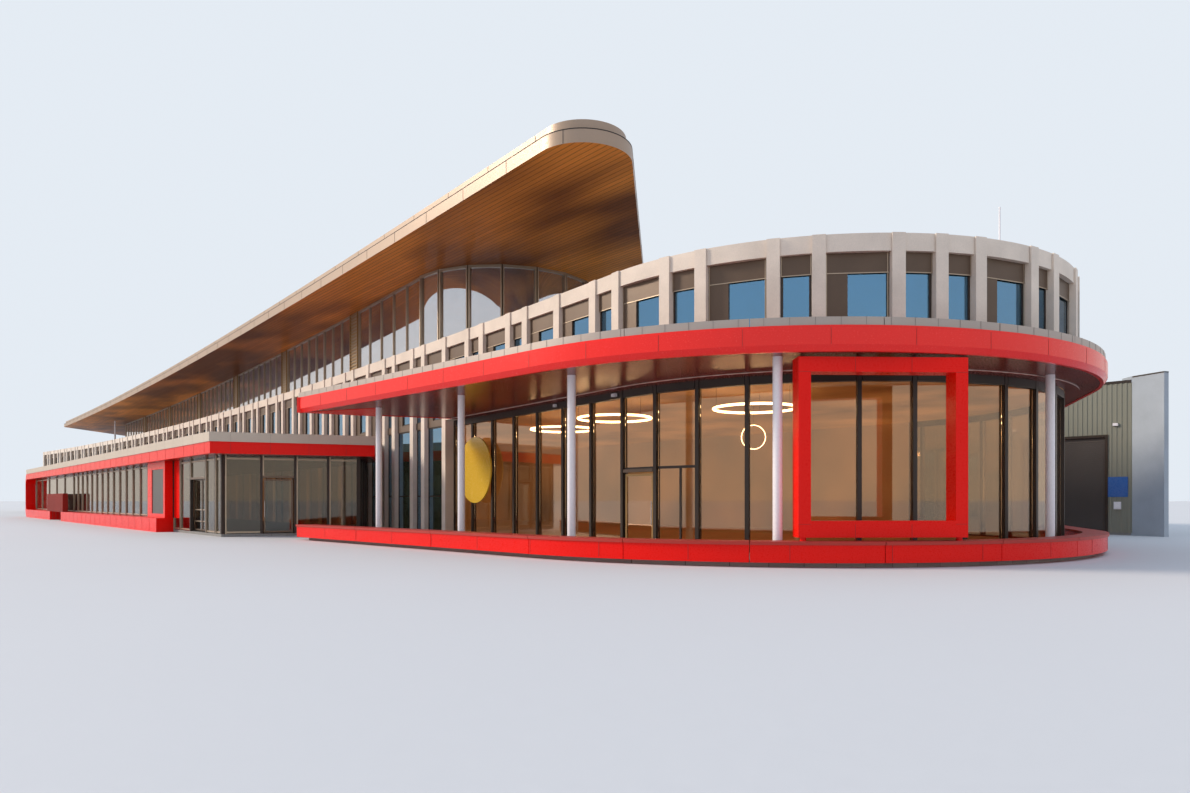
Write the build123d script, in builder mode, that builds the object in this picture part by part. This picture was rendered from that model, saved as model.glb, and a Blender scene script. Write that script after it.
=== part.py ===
# A supermarket with a round restaurant end, as a 1:10 scale model, in model millimetres.
# X runs along the building towards its round end, Y goes back from the road, Z is up.
# The origin is the centre of the round end, on the ground.
import os
from math import acos, atan2, cos, degrees, hypot, radians, sin, tan

from build123d import *

# Round end and long curved front
drum_radius = 895
front_radius = 59800
front_lean = 6.3
wide_bay = 215
narrow_bay = 124
drum_wide_angle = 13.42
drum_narrow_angle = 7.75
front_bays = "NW" + "WNWNW" * 13 + "WNW"
drum_bays = "WNWNWNNWNWNWNWNNWN"
drum_end = 90
far_skew = 50

# Levels
floor_top = 12
soffit_level = 510
upper_slab = 30
sill_step = 10
ring_height = 81
beam_bottom = 827
parapet_top = 875
roof_slab = 30
deck_step = 18
wall = 40

# Piers, panes and panels
pier_width = 36
pier_tongue = 5
pane = 3
pane_depth = 22
fit = 0.5
joint = 2
spandrel_height = 53
panel = 6
side_panel_width = 57
floor_beam_height = 30
court_start = 1150
court_end = 2125

# Restaurant ring close behind the facade, behind the terrace
restaurant_first = 20
restaurant_pitch = 171
restaurant_front_bays = 7
restaurant_step = 10.2
restaurant_drum_bays = 18
restaurant_head_height = 25
mullion_width = 12
mullion_depth = 20

# Round blank sign on stand-offs before the restaurant
sign_station = 985
sign_level = 285
sign_radius = 137
sign_thickness = 6
sign_gap = 13
sign_stay_radius = 4
sign_mullions = (5, 6)

# Terrace, its low wall and the canopy over it
canopy_centre = (-91, -176)
canopy_reach = 210
canopy_back_angle = 28
terrace_end_station = 1168
terrace_end_length = 621
terrace_wall_height = 54
terrace_wall_thickness = 60
terrace_cap_height = 8
terrace_cap_reach = 4
canopy_fascia_height = 61
canopy_fascia_thickness = 20
canopy_cap_height = 20
canopy_cap_inset = 6
canopy_segment = 16
column_diameter = 24
road_columns = ((380, 149), (897, 160))
round_columns = ((-84.7, 127), (-50.3, 86), (1.3, 107))

# Square portal on the terrace wall
portal_left = (-47.9, 32)
portal_right = (-26, 11)
portal_bottom = 70
portal_top = 503
portal_side = 30
portal_head = 36
portal_foot = 40
portal_depth = 50
portal_foot_inset = 14

# Pavilion along the road
face_y = -1510
eaves_reach = 78
pavilion_near_x = -1920
pavilion_far_x = -7550
end_angle = 71.1
end_length = 580
end_overhang = 130
return_overhang = 70
return_bays = 3
far_bays = 5
pavilion_head = 355
pavilion_fascia_height = 50
pavilion_cap_height = 40
pavilion_fascia_thickness = 20
pavilion_deck = 30
frame_width = 10
frame_depth = 15
base_height = 70
base_right_x = -2680
base_gap = (-6060, -5530)
screen_left_x = -6180
screen_right_x = -5420
screen_top = 210
screen_thickness = 30
ribbon_end_x = -5514
ribbon_bays = 14
wide_ribbon_bays = 5
end_band_thickness = 15
end_band_radius = 84
end_band_inner_radius = 60

# Doors
door_gap = 5
leaf_thickness = 8
leaf_rail = 7
leaf_glass = 3
hang_gap = 0.3
pivot_inset = 4
pivot_radius = 2.5
sliding_left_x = -2390
sliding_right_x = -2150
sliding_head = 245
sliding_travel = 115
fixed_left_x = -2565
fixed_right_x = -2010
side_door_start = 160
side_door_width = 140
side_door_head = 235
terrace_door_head = 225

# Poster box beside the doors, with a blank panel in its recess
poster_left_x = -3035
poster_right_x = -2690
poster_reach = 37
poster_left_margin = 85
poster_right_margin = 30
poster_foot = 20
poster_head_margin = 37
poster_recess = 5
poster_panel_thickness = 2

# Rear store
store_far_x = -11000
store_link_x = -800
store_face_y = 1610
store_right_x = 660
store_back_y = 3000
store_top = 705
store_wall = 30
shutter_from_corner = 103
shutter_width = 350
shutter_head = 450
shutter_thickness = 10
wall_sign_from_corner = 12
wall_sign_width = 82
wall_sign_bottom = 174
wall_sign_height = 92
wall_sign_thickness = 3
dock_wall_end = (800, 1540)
dock_wall_thickness = 25
dock_wall_top = 720

# Top storey and the big roof
roof_nose = (166, -1097)
roof_far = (-12400, -590)
roof_front_radius = 170000
roof_back_y = 1000
near_skew = 43
roof_nose_radius = 160
roof_corner_radius = 75
roof_bottom = 1250
roof_layer = 45
roof_upper_layer = 35
roof_step = 20
glass_near = (-491, -788)
glass_far = (-11240, -10)
glass_front_radius = 110000
glass_back_y = 760
glass_corner_radius = 460
glass_corner_panes = 7
louvre_start_x = -1948
louvre_pitch = 1450
louvre_width = 130
louvre_depth = 8
post_diameter = 20
post_spots = ((-10840, -220), (-12300, 520))
mast_spot = (600, 290)
mast_diameter = 6
mast_top = 1178

# Levels and lines that follow from these sizes
ring_top = soffit_level + ring_height
deck_top = beam_bottom + deck_step
upper_sill = soffit_level + sill_step
beam_foot = upper_sill - floor_beam_height
canopy_radius = drum_radius + canopy_reach
eaves_y = face_y - eaves_reach
glass_far_x = pavilion_far_x + end_band_thickness
corner_x = pavilion_far_x + end_band_radius

# Centre of the long front's circle, which meets the drum in one smooth line
front_reach = front_radius + drum_radius
front_centre = (-front_reach * sin(radians(front_lean)), -front_reach * cos(radians(front_lean)))


def moved(point, angle, along, aside=0):
    """Point moved along a direction in degrees, and aside to the right of it."""
    turn = radians(angle)
    x, y = point
    return (x + along * cos(turn) + aside * sin(turn), y + along * sin(turn) - aside * cos(turn))


def crossing(first, first_angle, second, second_angle):
    """Where two lines cross, each given by a point and an angle in degrees."""
    a = radians(first_angle)
    b = radians(second_angle)
    run = ((second[0] - first[0]) * sin(b) - (second[1] - first[1]) * cos(b)) / sin(b - a)
    return moved(first, first_angle, run)


def heading(start, end):
    """Angle in degrees and length of the way from one point to another."""
    return degrees(atan2(end[1] - start[1], end[0] - start[0])), hypot(end[0] - start[0], end[1] - start[1])


def front_at(station, depth=0):
    """Point on the long front: station leftwards from the drum, depth into the building."""
    angle = radians(90 - front_lean) + station / front_radius
    radius = front_radius + depth
    return (front_centre[0] + radius * cos(angle), front_centre[1] + radius * sin(angle))


def drum_at(angle, depth=0):
    """Point on the drum at an angle in degrees, depth towards its centre."""
    return moved((0, 0), angle, drum_radius - depth)


def canopy_at(angle, depth=0):
    """Point on the round part of the canopy's edge, depth inwards."""
    return moved(canopy_centre, angle, canopy_radius - depth)


def front_turn(station):
    """Angle of the long front's face at a station."""
    return degrees(station / front_radius) - front_lean


def front_place(station, depth=0):
    """Place on the long front whose local Y goes into the building."""
    x, y = front_at(station, depth)
    return Location((x, y, 0), (0, 0, front_turn(station)))


def drum_place(angle, depth=0):
    """Place on the drum whose local Y goes towards its centre."""
    x, y = drum_at(angle, depth)
    return Location((x, y, 0), (0, 0, angle + 90))


def stations(letters, wide, narrow, start=0):
    """Stations of the piers along a row of wide (W) and narrow (N) bays."""
    found = [start]
    for letter in letters:
        found.append(found[-1] + (wide if letter == "W" else narrow))
    return found


def pairs(values):
    """Neighbouring values of a row."""
    return list(zip(values[:-1], values[1:]))


front_stations = stations(front_bays, wide_bay, narrow_bay)
drum_stations = stations(drum_bays, drum_wide_angle, drum_narrow_angle, -90 - front_lean)
front_length = front_stations[-1]
front_corner = front_at(front_length)
low_pairs = [(a, b) for a, b in pairs(front_stations) if a > court_start]
high_pairs = [(a, b) for a, b in pairs(front_stations) if a <= court_start]


def end_x(y, depth=0):
    """X of the skewed far end at a given Y, depth into the building."""
    return front_corner[0] - (y - front_corner[1]) * tan(radians(far_skew)) + depth / cos(radians(far_skew))


def strip(path, start, end, outer, inner):
    """Closed strip along a curved path, between two stations and two depths."""
    middle = (start + end) / 2
    with BuildSketch() as face:
        with BuildLine():
            ThreePointArc(path(start, outer), path(middle, outer), path(end, outer))
            Line(path(end, outer), path(end, inner))
            ThreePointArc(path(end, inner), path(middle, inner), path(start, inner))
            Line(path(start, inner), path(start, outer))
        make_face()
    return face.sketch


def outline(*points):
    """Closed polygon face."""
    with BuildSketch() as face:
        with BuildLine():
            Polyline(*points, close=True)
        make_face()
    return face.sketch


def main_plan(depth):
    """Plan of the main building, all its edges moved inwards by depth."""
    with BuildSketch() as face:
        with BuildLine():
            ThreePointArc(front_at(front_length), front_at(front_length / 2), front_at(0))
            middle = (drum_end - 90 - front_lean) / 2
            ThreePointArc(front_at(0), drum_at(middle), drum_at(drum_end))
            Line(drum_at(drum_end), (end_x(drum_radius), drum_radius))
            Line((end_x(drum_radius), drum_radius), front_at(front_length))
        make_face()
        if depth:
            offset(amount=-depth, kind=Kind.INTERSECTION)
    return face.sketch


def front_bay(start, end, depth, post):
    """Place and clear width of a flat piece between two posts on the long front."""
    return front_place((start + end) / 2, depth), end - start - post - 2 * fit


def drum_bay(start, end, depth, post, thick):
    """Place and clear width of a flat piece between two posts on the drum."""
    half = radians((end - start) / 2)
    radius = drum_radius - depth
    width = 2 * radius * sin(half) - post / cos(half) - 2 * thick * tan(half) - 2 * fit
    return drum_place((start + end) / 2, drum_radius - radius * cos(half)), width


def keep(part, name):
    """Label a finished piece and write it."""
    part.label = name
    export_step(part, f"parts/{name}.step")


os.makedirs("parts", exist_ok=True)

# Floors and decks of the main building
with BuildPart() as main_floor:
    with BuildSketch():
        add(main_plan(0))
    extrude(amount=floor_top)

with BuildPart() as upper_floor:
    with BuildSketch(Plane.XY.offset(soffit_level)):
        add(main_plan(wall + fit))
    extrude(amount=upper_slab)

with BuildPart() as main_roof_deck:
    with BuildSketch(Plane.XY.offset(deck_top - roof_slab)):
        add(main_plan(wall + fit))
    extrude(amount=roof_slab)

# Ring beam at the canopy's level, in lengths from pier to pier, which carries the piers over the terrace
high_piers = [a for a, _ in high_pairs]
ring_end = low_pairs[0][0] - pier_width / 2 - fit
drum_lengths = pairs(drum_stations[:-1] + [drum_end])
drum_gap = degrees(joint / 2 / drum_radius)
low_edge = (Align.CENTER, Align.MIN)

with BuildPart() as ring_beam:
    with BuildSketch(Plane.XY.offset(soffit_level)):
        for start, end in pairs(high_piers + [ring_end]):
            add(strip(front_at, start + joint / 2, end - joint / 2, 0, wall))
        for start, end in drum_lengths:
            add(strip(drum_at, start + drum_gap, end - drum_gap, 0, wall))
    extrude(amount=ring_height)

# Concrete piers, each with a thin tongue up the face of the parapet
with BuildPart() as facade_piers:
    with BuildSketch(Plane.XY.offset(floor_top)):
        with Locations(*[front_place(a) for a, _ in low_pairs], front_place(front_length)):
            Rectangle(pier_width, wall, align=low_edge)
    extrude(amount=beam_bottom - floor_top)
    with BuildSketch(Plane.XY.offset(ring_top)):
        with Locations(*[front_place(station) for station in high_piers[1:]]):
            Rectangle(pier_width, wall, align=low_edge)
        with Locations(*[drum_place(angle) for angle in drum_stations]):
            Rectangle(pier_width, wall, align=low_edge)
    extrude(amount=beam_bottom - ring_top)
    with BuildSketch(Plane.XY.offset(beam_bottom)):
        with Locations(*[front_place(station) for station in front_stations[1:]]):
            Rectangle(pier_width, pier_tongue, align=low_edge)
        with Locations(*[drum_place(angle) for angle in drum_stations]):
            Rectangle(pier_width, pier_tongue, align=low_edge)
    extrude(amount=parapet_top - beam_bottom)

# Parapet beams behind the tongues, in lengths from pier to pier
with BuildPart() as parapet_beams:
    with BuildSketch(Plane.XY.offset(beam_bottom)):
        for start, end in pairs(front_stations):
            add(strip(front_at, start + joint / 2, end - joint / 2, pier_tongue + fit, wall))
        for start, end in drum_lengths:
            add(strip(drum_at, start + drum_gap, end - drum_gap, pier_tongue + fit, wall))
    extrude(amount=parapet_top - beam_bottom)


def high_bays(depth, thick):
    """Place and clear width of the bays that stand on the ring beam."""
    found = [front_bay(a, b, depth, pier_width) for a, b in high_pairs]
    return found + [drum_bay(a, b, depth, pier_width, thick) for a, b in pairs(drum_stations)]


def low_bays(depth):
    """Place and clear width of the bays between full-height piers."""
    return [front_bay(a, b, depth, pier_width) for a, b in low_pairs]


def beside_pavilion(start, end):
    """Whether a bay of the long front stands free, with no pavilion before it."""
    return end <= court_end or front_at(end)[0] < glass_far_x


# Window panes: over the ring beam, over the floor beams, on the ground, and over the pavilion's roof
ground_pairs = [pair for pair in low_pairs if beside_pavilion(*pair)]
hidden_pairs = [pair for pair in low_pairs if not beside_pavilion(*pair)]
pane_rows = (
    (ring_top, beam_bottom, high_bays(pane_depth, pane)),
    (upper_sill, beam_bottom, low_bays(pane_depth)),
    (floor_top, beam_foot, [front_bay(a, b, pane_depth, pier_width) for a, b in ground_pairs]),
    (pavilion_head, beam_foot, [front_bay(a, b, pane_depth, pier_width) for a, b in hidden_pairs]),
)

with BuildPart() as facade_glass:
    for bottom, top, bays in pane_rows:
        with BuildSketch(Plane.XY.offset(bottom)):
            for place, width in bays:
                with Locations(place):
                    Rectangle(width, pane, align=low_edge)
        extrude(amount=top - bottom)

# Metal panels before the panes: a spandrel over each, and an upright one at the left of each wide bay
panel_top = beam_bottom - spandrel_height
panel_rows = ((ring_top, high_bays(pane_depth, pane)), (upper_sill, low_bays(pane_depth)))

with BuildPart() as window_panels:
    for bottom, bays in panel_rows:
        with BuildSketch(Plane.XY.offset(panel_top)):
            for place, width in bays:
                with Locations(place):
                    Rectangle(width, panel, align=(Align.CENTER, Align.MAX))
        extrude(amount=spandrel_height)
        with BuildSketch(Plane.XY.offset(bottom)):
            for place, width in bays:
                if width > narrow_bay:
                    with Locations(place * Location((-width / 2, 0, 0))):
                        Rectangle(side_panel_width, panel, align=(Align.MIN, Align.MAX))
        extrude(amount=panel_top - bottom)

# Floor beams between the full-height piers
with BuildPart() as floor_beams:
    with BuildSketch(Plane.XY.offset(beam_foot)):
        for place, width in low_bays(pane_depth - panel):
            with Locations(place):
                Rectangle(width, wall - pane_depth + panel, align=low_edge)
    extrude(amount=floor_beam_height)

# Plain walls at the far end and along the back
wall_back = drum_radius - wall

with BuildPart() as end_wall:
    with BuildSketch(Plane.XY.offset(floor_top)):
        start = front_corner[1]
        face = ((end_x(start), start), (end_x(wall_back), wall_back))
        add(outline(*face, (end_x(wall_back, wall), wall_back), (end_x(start, wall), start)))
        facade = strip(front_at, front_length - 2 * wall, front_length + 2 * wall, -wall, wall + fit)
        add(facade, mode=Mode.SUBTRACT)
    extrude(amount=parapet_top - floor_top)

with BuildPart() as rear_wall:
    with BuildSketch(Plane.XY.offset(floor_top)):
        face = ((end_x(drum_radius), drum_radius), (end_x(wall_back), wall_back))
        add(outline((0, wall_back), (0, drum_radius), *face))
    extrude(amount=parapet_top - floor_top)

# Restaurant: a ring of glass between mullions close behind the facade, with a dark head band
restaurant_depth = wall + fit
pane_line = restaurant_depth + mullion_depth / 2
restaurant_height = soffit_level - floor_top
glass_top = soffit_level - restaurant_head_height
front_mullions = [restaurant_first + i * restaurant_pitch for i in range(restaurant_front_bays + 1)]
first_angle = -90 - front_lean - degrees(restaurant_first / drum_radius)
last_angle = drum_end - degrees((mullion_width / 2 + 2 * fit) / (drum_radius - restaurant_depth))
drum_mullions = [first_angle + i * restaurant_step for i in range(restaurant_drum_bays + 1)] + [last_angle]
door_angles = (drum_mullions[0], drum_mullions[1])


def restaurant_bays(depth, thick):
    """Place and clear width of each restaurant bay but the door's, along the front and round the drum."""
    found = [front_bay(a, b, depth, mullion_width) for a, b in pairs(front_mullions)]
    return found + [drum_bay(a, b, depth, mullion_width, thick) for a, b in pairs(drum_mullions)[1:]]


door_bay = drum_bay(*door_angles, pane_line, mullion_width, pane)
head_bay = drum_bay(*door_angles, restaurant_depth, mullion_width, mullion_depth)
terrace_head_bottom = floor_top + terrace_door_head + 2 * door_gap
terrace_head_top = terrace_head_bottom + frame_width

with BuildPart() as restaurant_mullions:
    with BuildSketch(Plane.XY.offset(floor_top)):
        with Locations(*[front_place(station, restaurant_depth) for station in front_mullions[1:]]):
            Rectangle(mullion_width, mullion_depth, align=low_edge)
        with Locations(*[drum_place(angle, restaurant_depth) for angle in drum_mullions]):
            Rectangle(mullion_width, mullion_depth, align=low_edge)
    extrude(amount=restaurant_height)

with BuildPart() as restaurant_head:
    with BuildSketch(Plane.XY.offset(glass_top)):
        for place, width in restaurant_bays(restaurant_depth, mullion_depth) + [head_bay]:
            with Locations(place):
                Rectangle(width, mullion_depth, align=low_edge)
    extrude(amount=restaurant_head_height)

with BuildPart() as restaurant_glass:
    with BuildSketch(Plane.XY.offset(floor_top)):
        for place, width in restaurant_bays(pane_line, pane):
            with Locations(place):
                Rectangle(width, pane, align=low_edge)
    extrude(amount=glass_top - floor_top)
    with BuildSketch(Plane.XY.offset(terrace_head_top)):
        with Locations(door_bay[0]):
            Rectangle(door_bay[1], pane, align=low_edge)
    extrude(amount=glass_top - terrace_head_top)


def upright_plane(x, y, angle, level):
    """Upright plane through a point, whose local X runs at an angle and whose local Z looks to its right."""
    along = radians(angle)
    return Plane(origin=(x, y, level), x_dir=(cos(along), sin(along), 0), z_dir=(sin(along), -cos(along), 0))


# Round blank sign, carried by two stays on the mullions behind it
sign_spot = front_at(sign_station, restaurant_depth - sign_gap)
sign_plane = upright_plane(*sign_spot, front_turn(sign_station), sign_level)

with BuildPart() as terrace_sign:
    with BuildSketch(sign_plane):
        Circle(sign_radius)
    extrude(amount=sign_thickness)
    with BuildSketch(sign_plane):
        with Locations(*[(sign_station - front_mullions[i], 0) for i in sign_mullions]):
            Circle(sign_stay_radius)
    extrude(amount=hang_gap - sign_gap)

# Terrace and canopy: the road edge runs from the free corner to the round, and the back edge leaves it
end_foot = front_at(terrace_end_station)
terrace_corner = moved(end_foot, end_angle, -terrace_end_length)
corner_angle, corner_reach = heading(canopy_centre, terrace_corner)
tangent_angle = corner_angle + degrees(acos(canopy_radius / corner_reach))
road_angle, road_length = heading(terrace_corner, canopy_at(tangent_angle))
corner_turn = end_angle - road_angle
back_direction = canopy_back_angle + 90
inner_y = front_centre[1] + front_radius + 2 * wall


def road_at(station, depth=0):
    """Point along the straight road edge, from the free corner towards the round."""
    return moved(terrace_corner, road_angle, station, -depth)


def road_end(depth):
    """Point on the free end at a depth behind the road edge."""
    return moved(terrace_corner, end_angle, depth / sin(radians(corner_turn)))


def back_end(depth, gap=0):
    """Point where the back edge, moved inwards, comes level with the back of the drum, less a gap."""
    return crossing(canopy_at(canopy_back_angle, depth), back_direction, (0, drum_radius - gap), 0)


def terrace_plan(depth):
    """Plan under the canopy, its free edges moved inwards by depth, up to the building's front."""
    corner = moved(road_end(depth), road_angle, depth / sin(radians(corner_turn)))
    middle = (tangent_angle + canopy_back_angle) / 2
    inside = crossing(corner, end_angle, (0, inner_y), 0)
    with BuildSketch() as face:
        with BuildLine():
            Line(corner, canopy_at(tangent_angle, depth))
            ThreePointArc(*[canopy_at(angle, depth) for angle in (tangent_angle, middle, canopy_back_angle)])
            back = back_end(depth, depth)
            Polyline(canopy_at(canopy_back_angle, depth), back, (-drum_radius / 2, back[1]), inside, corner)
        make_face()
        add(main_plan(0), mode=Mode.SUBTRACT)
    return face.sketch


def edge_segments(outer, inner):
    """The band along the road edge, the round and the back edge, as short pieces that don't touch."""
    thirds = [i * road_length / 3 for i in range(4)]
    first = thirds[1] - joint
    pieces = [outline(road_end(outer), road_at(first, outer), road_at(first, inner), road_end(inner))]
    for a, b in pairs(thirds[1:]):
        b -= joint
        pieces.append(outline(road_at(a, outer), road_at(b, outer), road_at(b, inner), road_at(a, inner)))
    rounds = round((canopy_back_angle - tangent_angle) / canopy_segment)
    step = (canopy_back_angle - tangent_angle) / rounds
    gap = degrees(joint / canopy_radius)
    for i in range(rounds):
        a = tangent_angle + i * step
        pieces.append(strip(canopy_at, a, a + step - gap, outer, inner))
    low = [canopy_at(canopy_back_angle, depth) for depth in (outer, inner)]
    high = [back_end(depth, max(outer, 0)) for depth in (outer, inner)]
    pieces.append(outline(low[0], *high, low[1]))
    return pieces


def hidden_segments(outer, inner):
    """The band along the free end and along the back, as pieces that stop at the building."""
    start = (inner + joint + inner * cos(radians(corner_turn))) / sin(radians(corner_turn))
    spots = ((start, outer), (terrace_end_length, outer), (terrace_end_length, inner), (start, inner))
    pieces = [outline(*[moved(terrace_corner, end_angle, along, aside) for along, aside in spots])]
    right = [back_end(inner, depth) for depth in (outer, inner)]
    left = (0, drum_radius - outer), (0, drum_radius - inner)
    pieces.append(outline((right[0][0] - joint, right[0][1]), *left, (right[1][0] - joint, right[1][1])))
    return pieces


with BuildPart() as terrace_floor:
    with BuildSketch():
        add(terrace_plan(terrace_wall_thickness / 2))
    extrude(amount=floor_top)

with BuildPart() as terrace_wall:
    with BuildSketch(Plane.XY.offset(floor_top)):
        for piece in edge_segments(0, terrace_wall_thickness):
            add(piece)
    extrude(amount=terrace_wall_height - floor_top)

with BuildPart() as terrace_wall_cap:
    with BuildSketch(Plane.XY.offset(terrace_wall_height)):
        for piece in edge_segments(-terrace_cap_reach, terrace_wall_thickness + terrace_cap_reach):
            add(piece)
    extrude(amount=terrace_cap_height)

# Canopy: dark deck, red edge and grey cap, all round
with BuildPart() as canopy_deck:
    with BuildSketch(Plane.XY.offset(soffit_level + joint)):
        add(terrace_plan(canopy_fascia_thickness))
    extrude(amount=canopy_fascia_height - joint)

def canopy_band(level, height, outer, inner):
    """One band of the canopy's edge on a level."""
    with BuildPart() as band:
        with BuildSketch(Plane.XY.offset(level)):
            for piece in edge_segments(outer, inner) + hidden_segments(outer, inner):
                add(piece)
            add(main_plan(0), mode=Mode.SUBTRACT)
        extrude(amount=height)
    return band.part


cap_level = soffit_level + canopy_fascia_height
cap_inner = canopy_fascia_thickness + 2 * canopy_cap_inset
canopy_fascia = canopy_band(soffit_level, canopy_fascia_height, 0, canopy_fascia_thickness)
canopy_cap = canopy_band(cap_level, canopy_cap_height, canopy_cap_inset, cap_inner)

column_spots = [road_at(along, depth) for along, depth in road_columns]
column_spots += [canopy_at(angle, depth) for angle, depth in round_columns]

with BuildPart() as canopy_columns:
    with BuildSketch(Plane.XY.offset(floor_top)):
        with Locations(*column_spots):
            Circle(column_diameter / 2)
    extrude(amount=soffit_level + joint - floor_top)

# Square portal on the terrace wall, on two round feet
portal_corners = [canopy_at(angle, depth) for angle, depth in (portal_left, portal_right)]
portal_angle, portal_width = heading(*portal_corners)
portal_height = portal_top - portal_bottom
portal_middle = moved(portal_corners[0], portal_angle, portal_width / 2)
portal_plane = upright_plane(*portal_middle, portal_angle, portal_bottom)
cap_top = terrace_wall_height + terrace_cap_height
with BuildPart() as portal:
    with BuildSketch(portal_plane):
        Rectangle(portal_width, portal_height, align=low_edge)
        with Locations((0, portal_foot)):
            inner_height = portal_height - portal_foot - portal_head
            Rectangle(portal_width - 2 * portal_side, inner_height, align=low_edge, mode=Mode.SUBTRACT)
    extrude(amount=-portal_depth)
    with BuildSketch(Plane.XY.offset(cap_top)):
        for side in (-1, 1):
            along = side * (portal_width - portal_side) / 2
            with Locations(moved(portal_middle, portal_angle, along, -portal_foot_inset)):
                Circle(portal_side / 4)
    extrude(amount=portal_bottom - cap_top)

# Pavilion: its near end is slanted, and from the notch a hidden side returns to the building
near_corner = (pavilion_near_x, face_y)
notch = moved(near_corner, end_angle, end_length)
return_angle, return_length = heading(notch, front_at(court_end))


def pavilion_plan(front, end, hidden, far_x):
    """Plan of the pavilion, its sides moved outwards by the distances given, cut at the main building."""
    front_line = moved(near_corner, 0, 0, front)
    end_line = moved(near_corner, end_angle, 0, end)
    hidden_line = moved(notch, return_angle, 0, hidden)
    near = crossing(front_line, 0, end_line, end_angle)
    turn = crossing(end_line, end_angle, hidden_line, return_angle)
    inside = crossing(hidden_line, return_angle, (0, inner_y), 0)
    with BuildSketch() as face:
        add(outline(near, turn, inside, (far_x, inner_y), (far_x, near[1])))
        add(main_plan(0), mode=Mode.SUBTRACT)
    return face.sketch


def eaves_plan(depth, far_x):
    """Plan of the pavilion's roof, its free edges moved inwards by depth."""
    return pavilion_plan(eaves_reach - depth, end_overhang - depth, return_overhang - depth, far_x)


with BuildPart() as pavilion_floor:
    with BuildSketch():
        add(pavilion_plan(0, 0, 0, glass_far_x))
    extrude(amount=floor_top)

with BuildPart() as pavilion_roof:
    with BuildSketch(Plane.XY.offset(pavilion_head)):
        add(eaves_plan(pavilion_fascia_thickness, glass_far_x))
        with Locations((pavilion_far_x, eaves_y)):
            Rectangle(end_band_radius, eaves_reach, align=(Align.MIN, Align.MIN), mode=Mode.SUBTRACT)
    extrude(amount=pavilion_deck)

with BuildPart() as pavilion_fascia:
    with BuildSketch(Plane.XY.offset(pavilion_head)):
        add(eaves_plan(0, corner_x))
        add(eaves_plan(pavilion_fascia_thickness, pavilion_far_x), mode=Mode.SUBTRACT)
    extrude(amount=pavilion_fascia_height)

with BuildPart() as pavilion_cap:
    with BuildSketch(Plane.XY.offset(pavilion_head + pavilion_fascia_height)):
        add(eaves_plan(-terrace_cap_reach, corner_x))
        add(eaves_plan(pavilion_fascia_thickness, pavilion_far_x), mode=Mode.SUBTRACT)
    extrude(amount=pavilion_cap_height)

# Red band that turns down at the far end in round corners, from the fascia to the base
band_plane = upright_plane(pavilion_far_x, eaves_y, 0, 0)
band_height = pavilion_head + pavilion_fascia_height

with BuildPart() as pavilion_end_band:
    with BuildSketch(band_plane):
        with BuildLine():
            radius = end_band_radius
            Line((radius, 0), (radius, base_height))
            inner_edge = end_band_thickness + end_band_inner_radius
            Line((radius, base_height), (inner_edge, base_height))
            inner_low = (end_band_thickness, base_height + end_band_inner_radius)
            TangentArc((inner_edge, base_height), inner_low, tangent=(-1, 0))
            inner_high = (end_band_thickness, pavilion_head - end_band_inner_radius)
            Line(inner_low, inner_high)
            TangentArc(inner_high, (inner_edge, pavilion_head), tangent=(0, 1))
            Line((inner_edge, pavilion_head), (radius, pavilion_head))
            Line((radius, pavilion_head), (radius, band_height))
            TangentArc((radius, band_height), (0, band_height - radius), tangent=(-1, 0))
            Line((0, band_height - radius), (0, radius))
            TangentArc((0, radius), (radius, 0), tangent=(0, -1))
        make_face()
    extrude(amount=-(eaves_reach - hang_gap))

# Pavilion glazing: rows of posts along the front, the near end, the hidden side and the far end
post_half = frame_width / 2
corner_inset = frame_depth - post_half
side_door_end = side_door_start + side_door_width
wide_step = (ribbon_end_x - glass_far_x) / wide_ribbon_bays
ribbon_step = (poster_left_x - ribbon_end_x) / ribbon_bays
front_posts = [glass_far_x + i * wide_step for i in range(1, wide_ribbon_bays)]
front_posts += [ribbon_end_x + i * ribbon_step for i in range(ribbon_bays + 1)]
front_posts += [poster_right_x, fixed_left_x, sliding_left_x, sliding_right_x, fixed_right_x]
end_posts = [side_door_start, side_door_end, (side_door_end + end_length) / 2]
return_posts = [i * return_length / return_bays for i in range(1, return_bays)]
return_posts += [return_length - post_half - 2 * fit]
far_reach = (front_radius**2 - (glass_far_x - front_centre[0]) ** 2) ** 0.5
far_length = front_centre[1] + far_reach - face_y
far_posts = [i * far_length / far_bays for i in range(1, far_bays)]


def ground_plane(point, angle):
    """Level plane at the top of the floor, whose local X runs at an angle."""
    along = radians(angle)
    return Plane(origin=(*point, floor_top), x_dir=(cos(along), sin(along), 0), z_dir=(0, 0, 1))


front_plane = Plane.XY.offset(floor_top)
near_plane = ground_plane(near_corner, end_angle)
return_plane = ground_plane(notch, return_angle)
far_plane = ground_plane((glass_far_x, face_y), 90)
glass_height = pavilion_head - floor_top
front_line = face_y + frame_depth / 2
side_line = frame_depth / 2
front_ends = (glass_far_x + corner_inset, pavilion_near_x - corner_inset)

with BuildPart() as pavilion_posts:
    for plane, line, posts in (
        (front_plane, front_line, front_posts),
        (near_plane, side_line, end_posts),
        (return_plane, side_line, return_posts),
        (far_plane, -side_line, far_posts),
    ):
        with BuildSketch(plane):
            with Locations(*[(post, line) for post in posts]):
                Rectangle(frame_width, frame_depth)
        extrude(amount=glass_height)
    with BuildSketch(front_plane):
        with Locations((glass_far_x + side_line, front_line), (pavilion_near_x - side_line, front_line)):
            Rectangle(frame_depth, frame_depth)
    extrude(amount=glass_height)
    with BuildSketch(near_plane):
        with Locations((end_length - side_line, side_line)):
            Rectangle(frame_depth, frame_depth)
    extrude(amount=glass_height)

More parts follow.
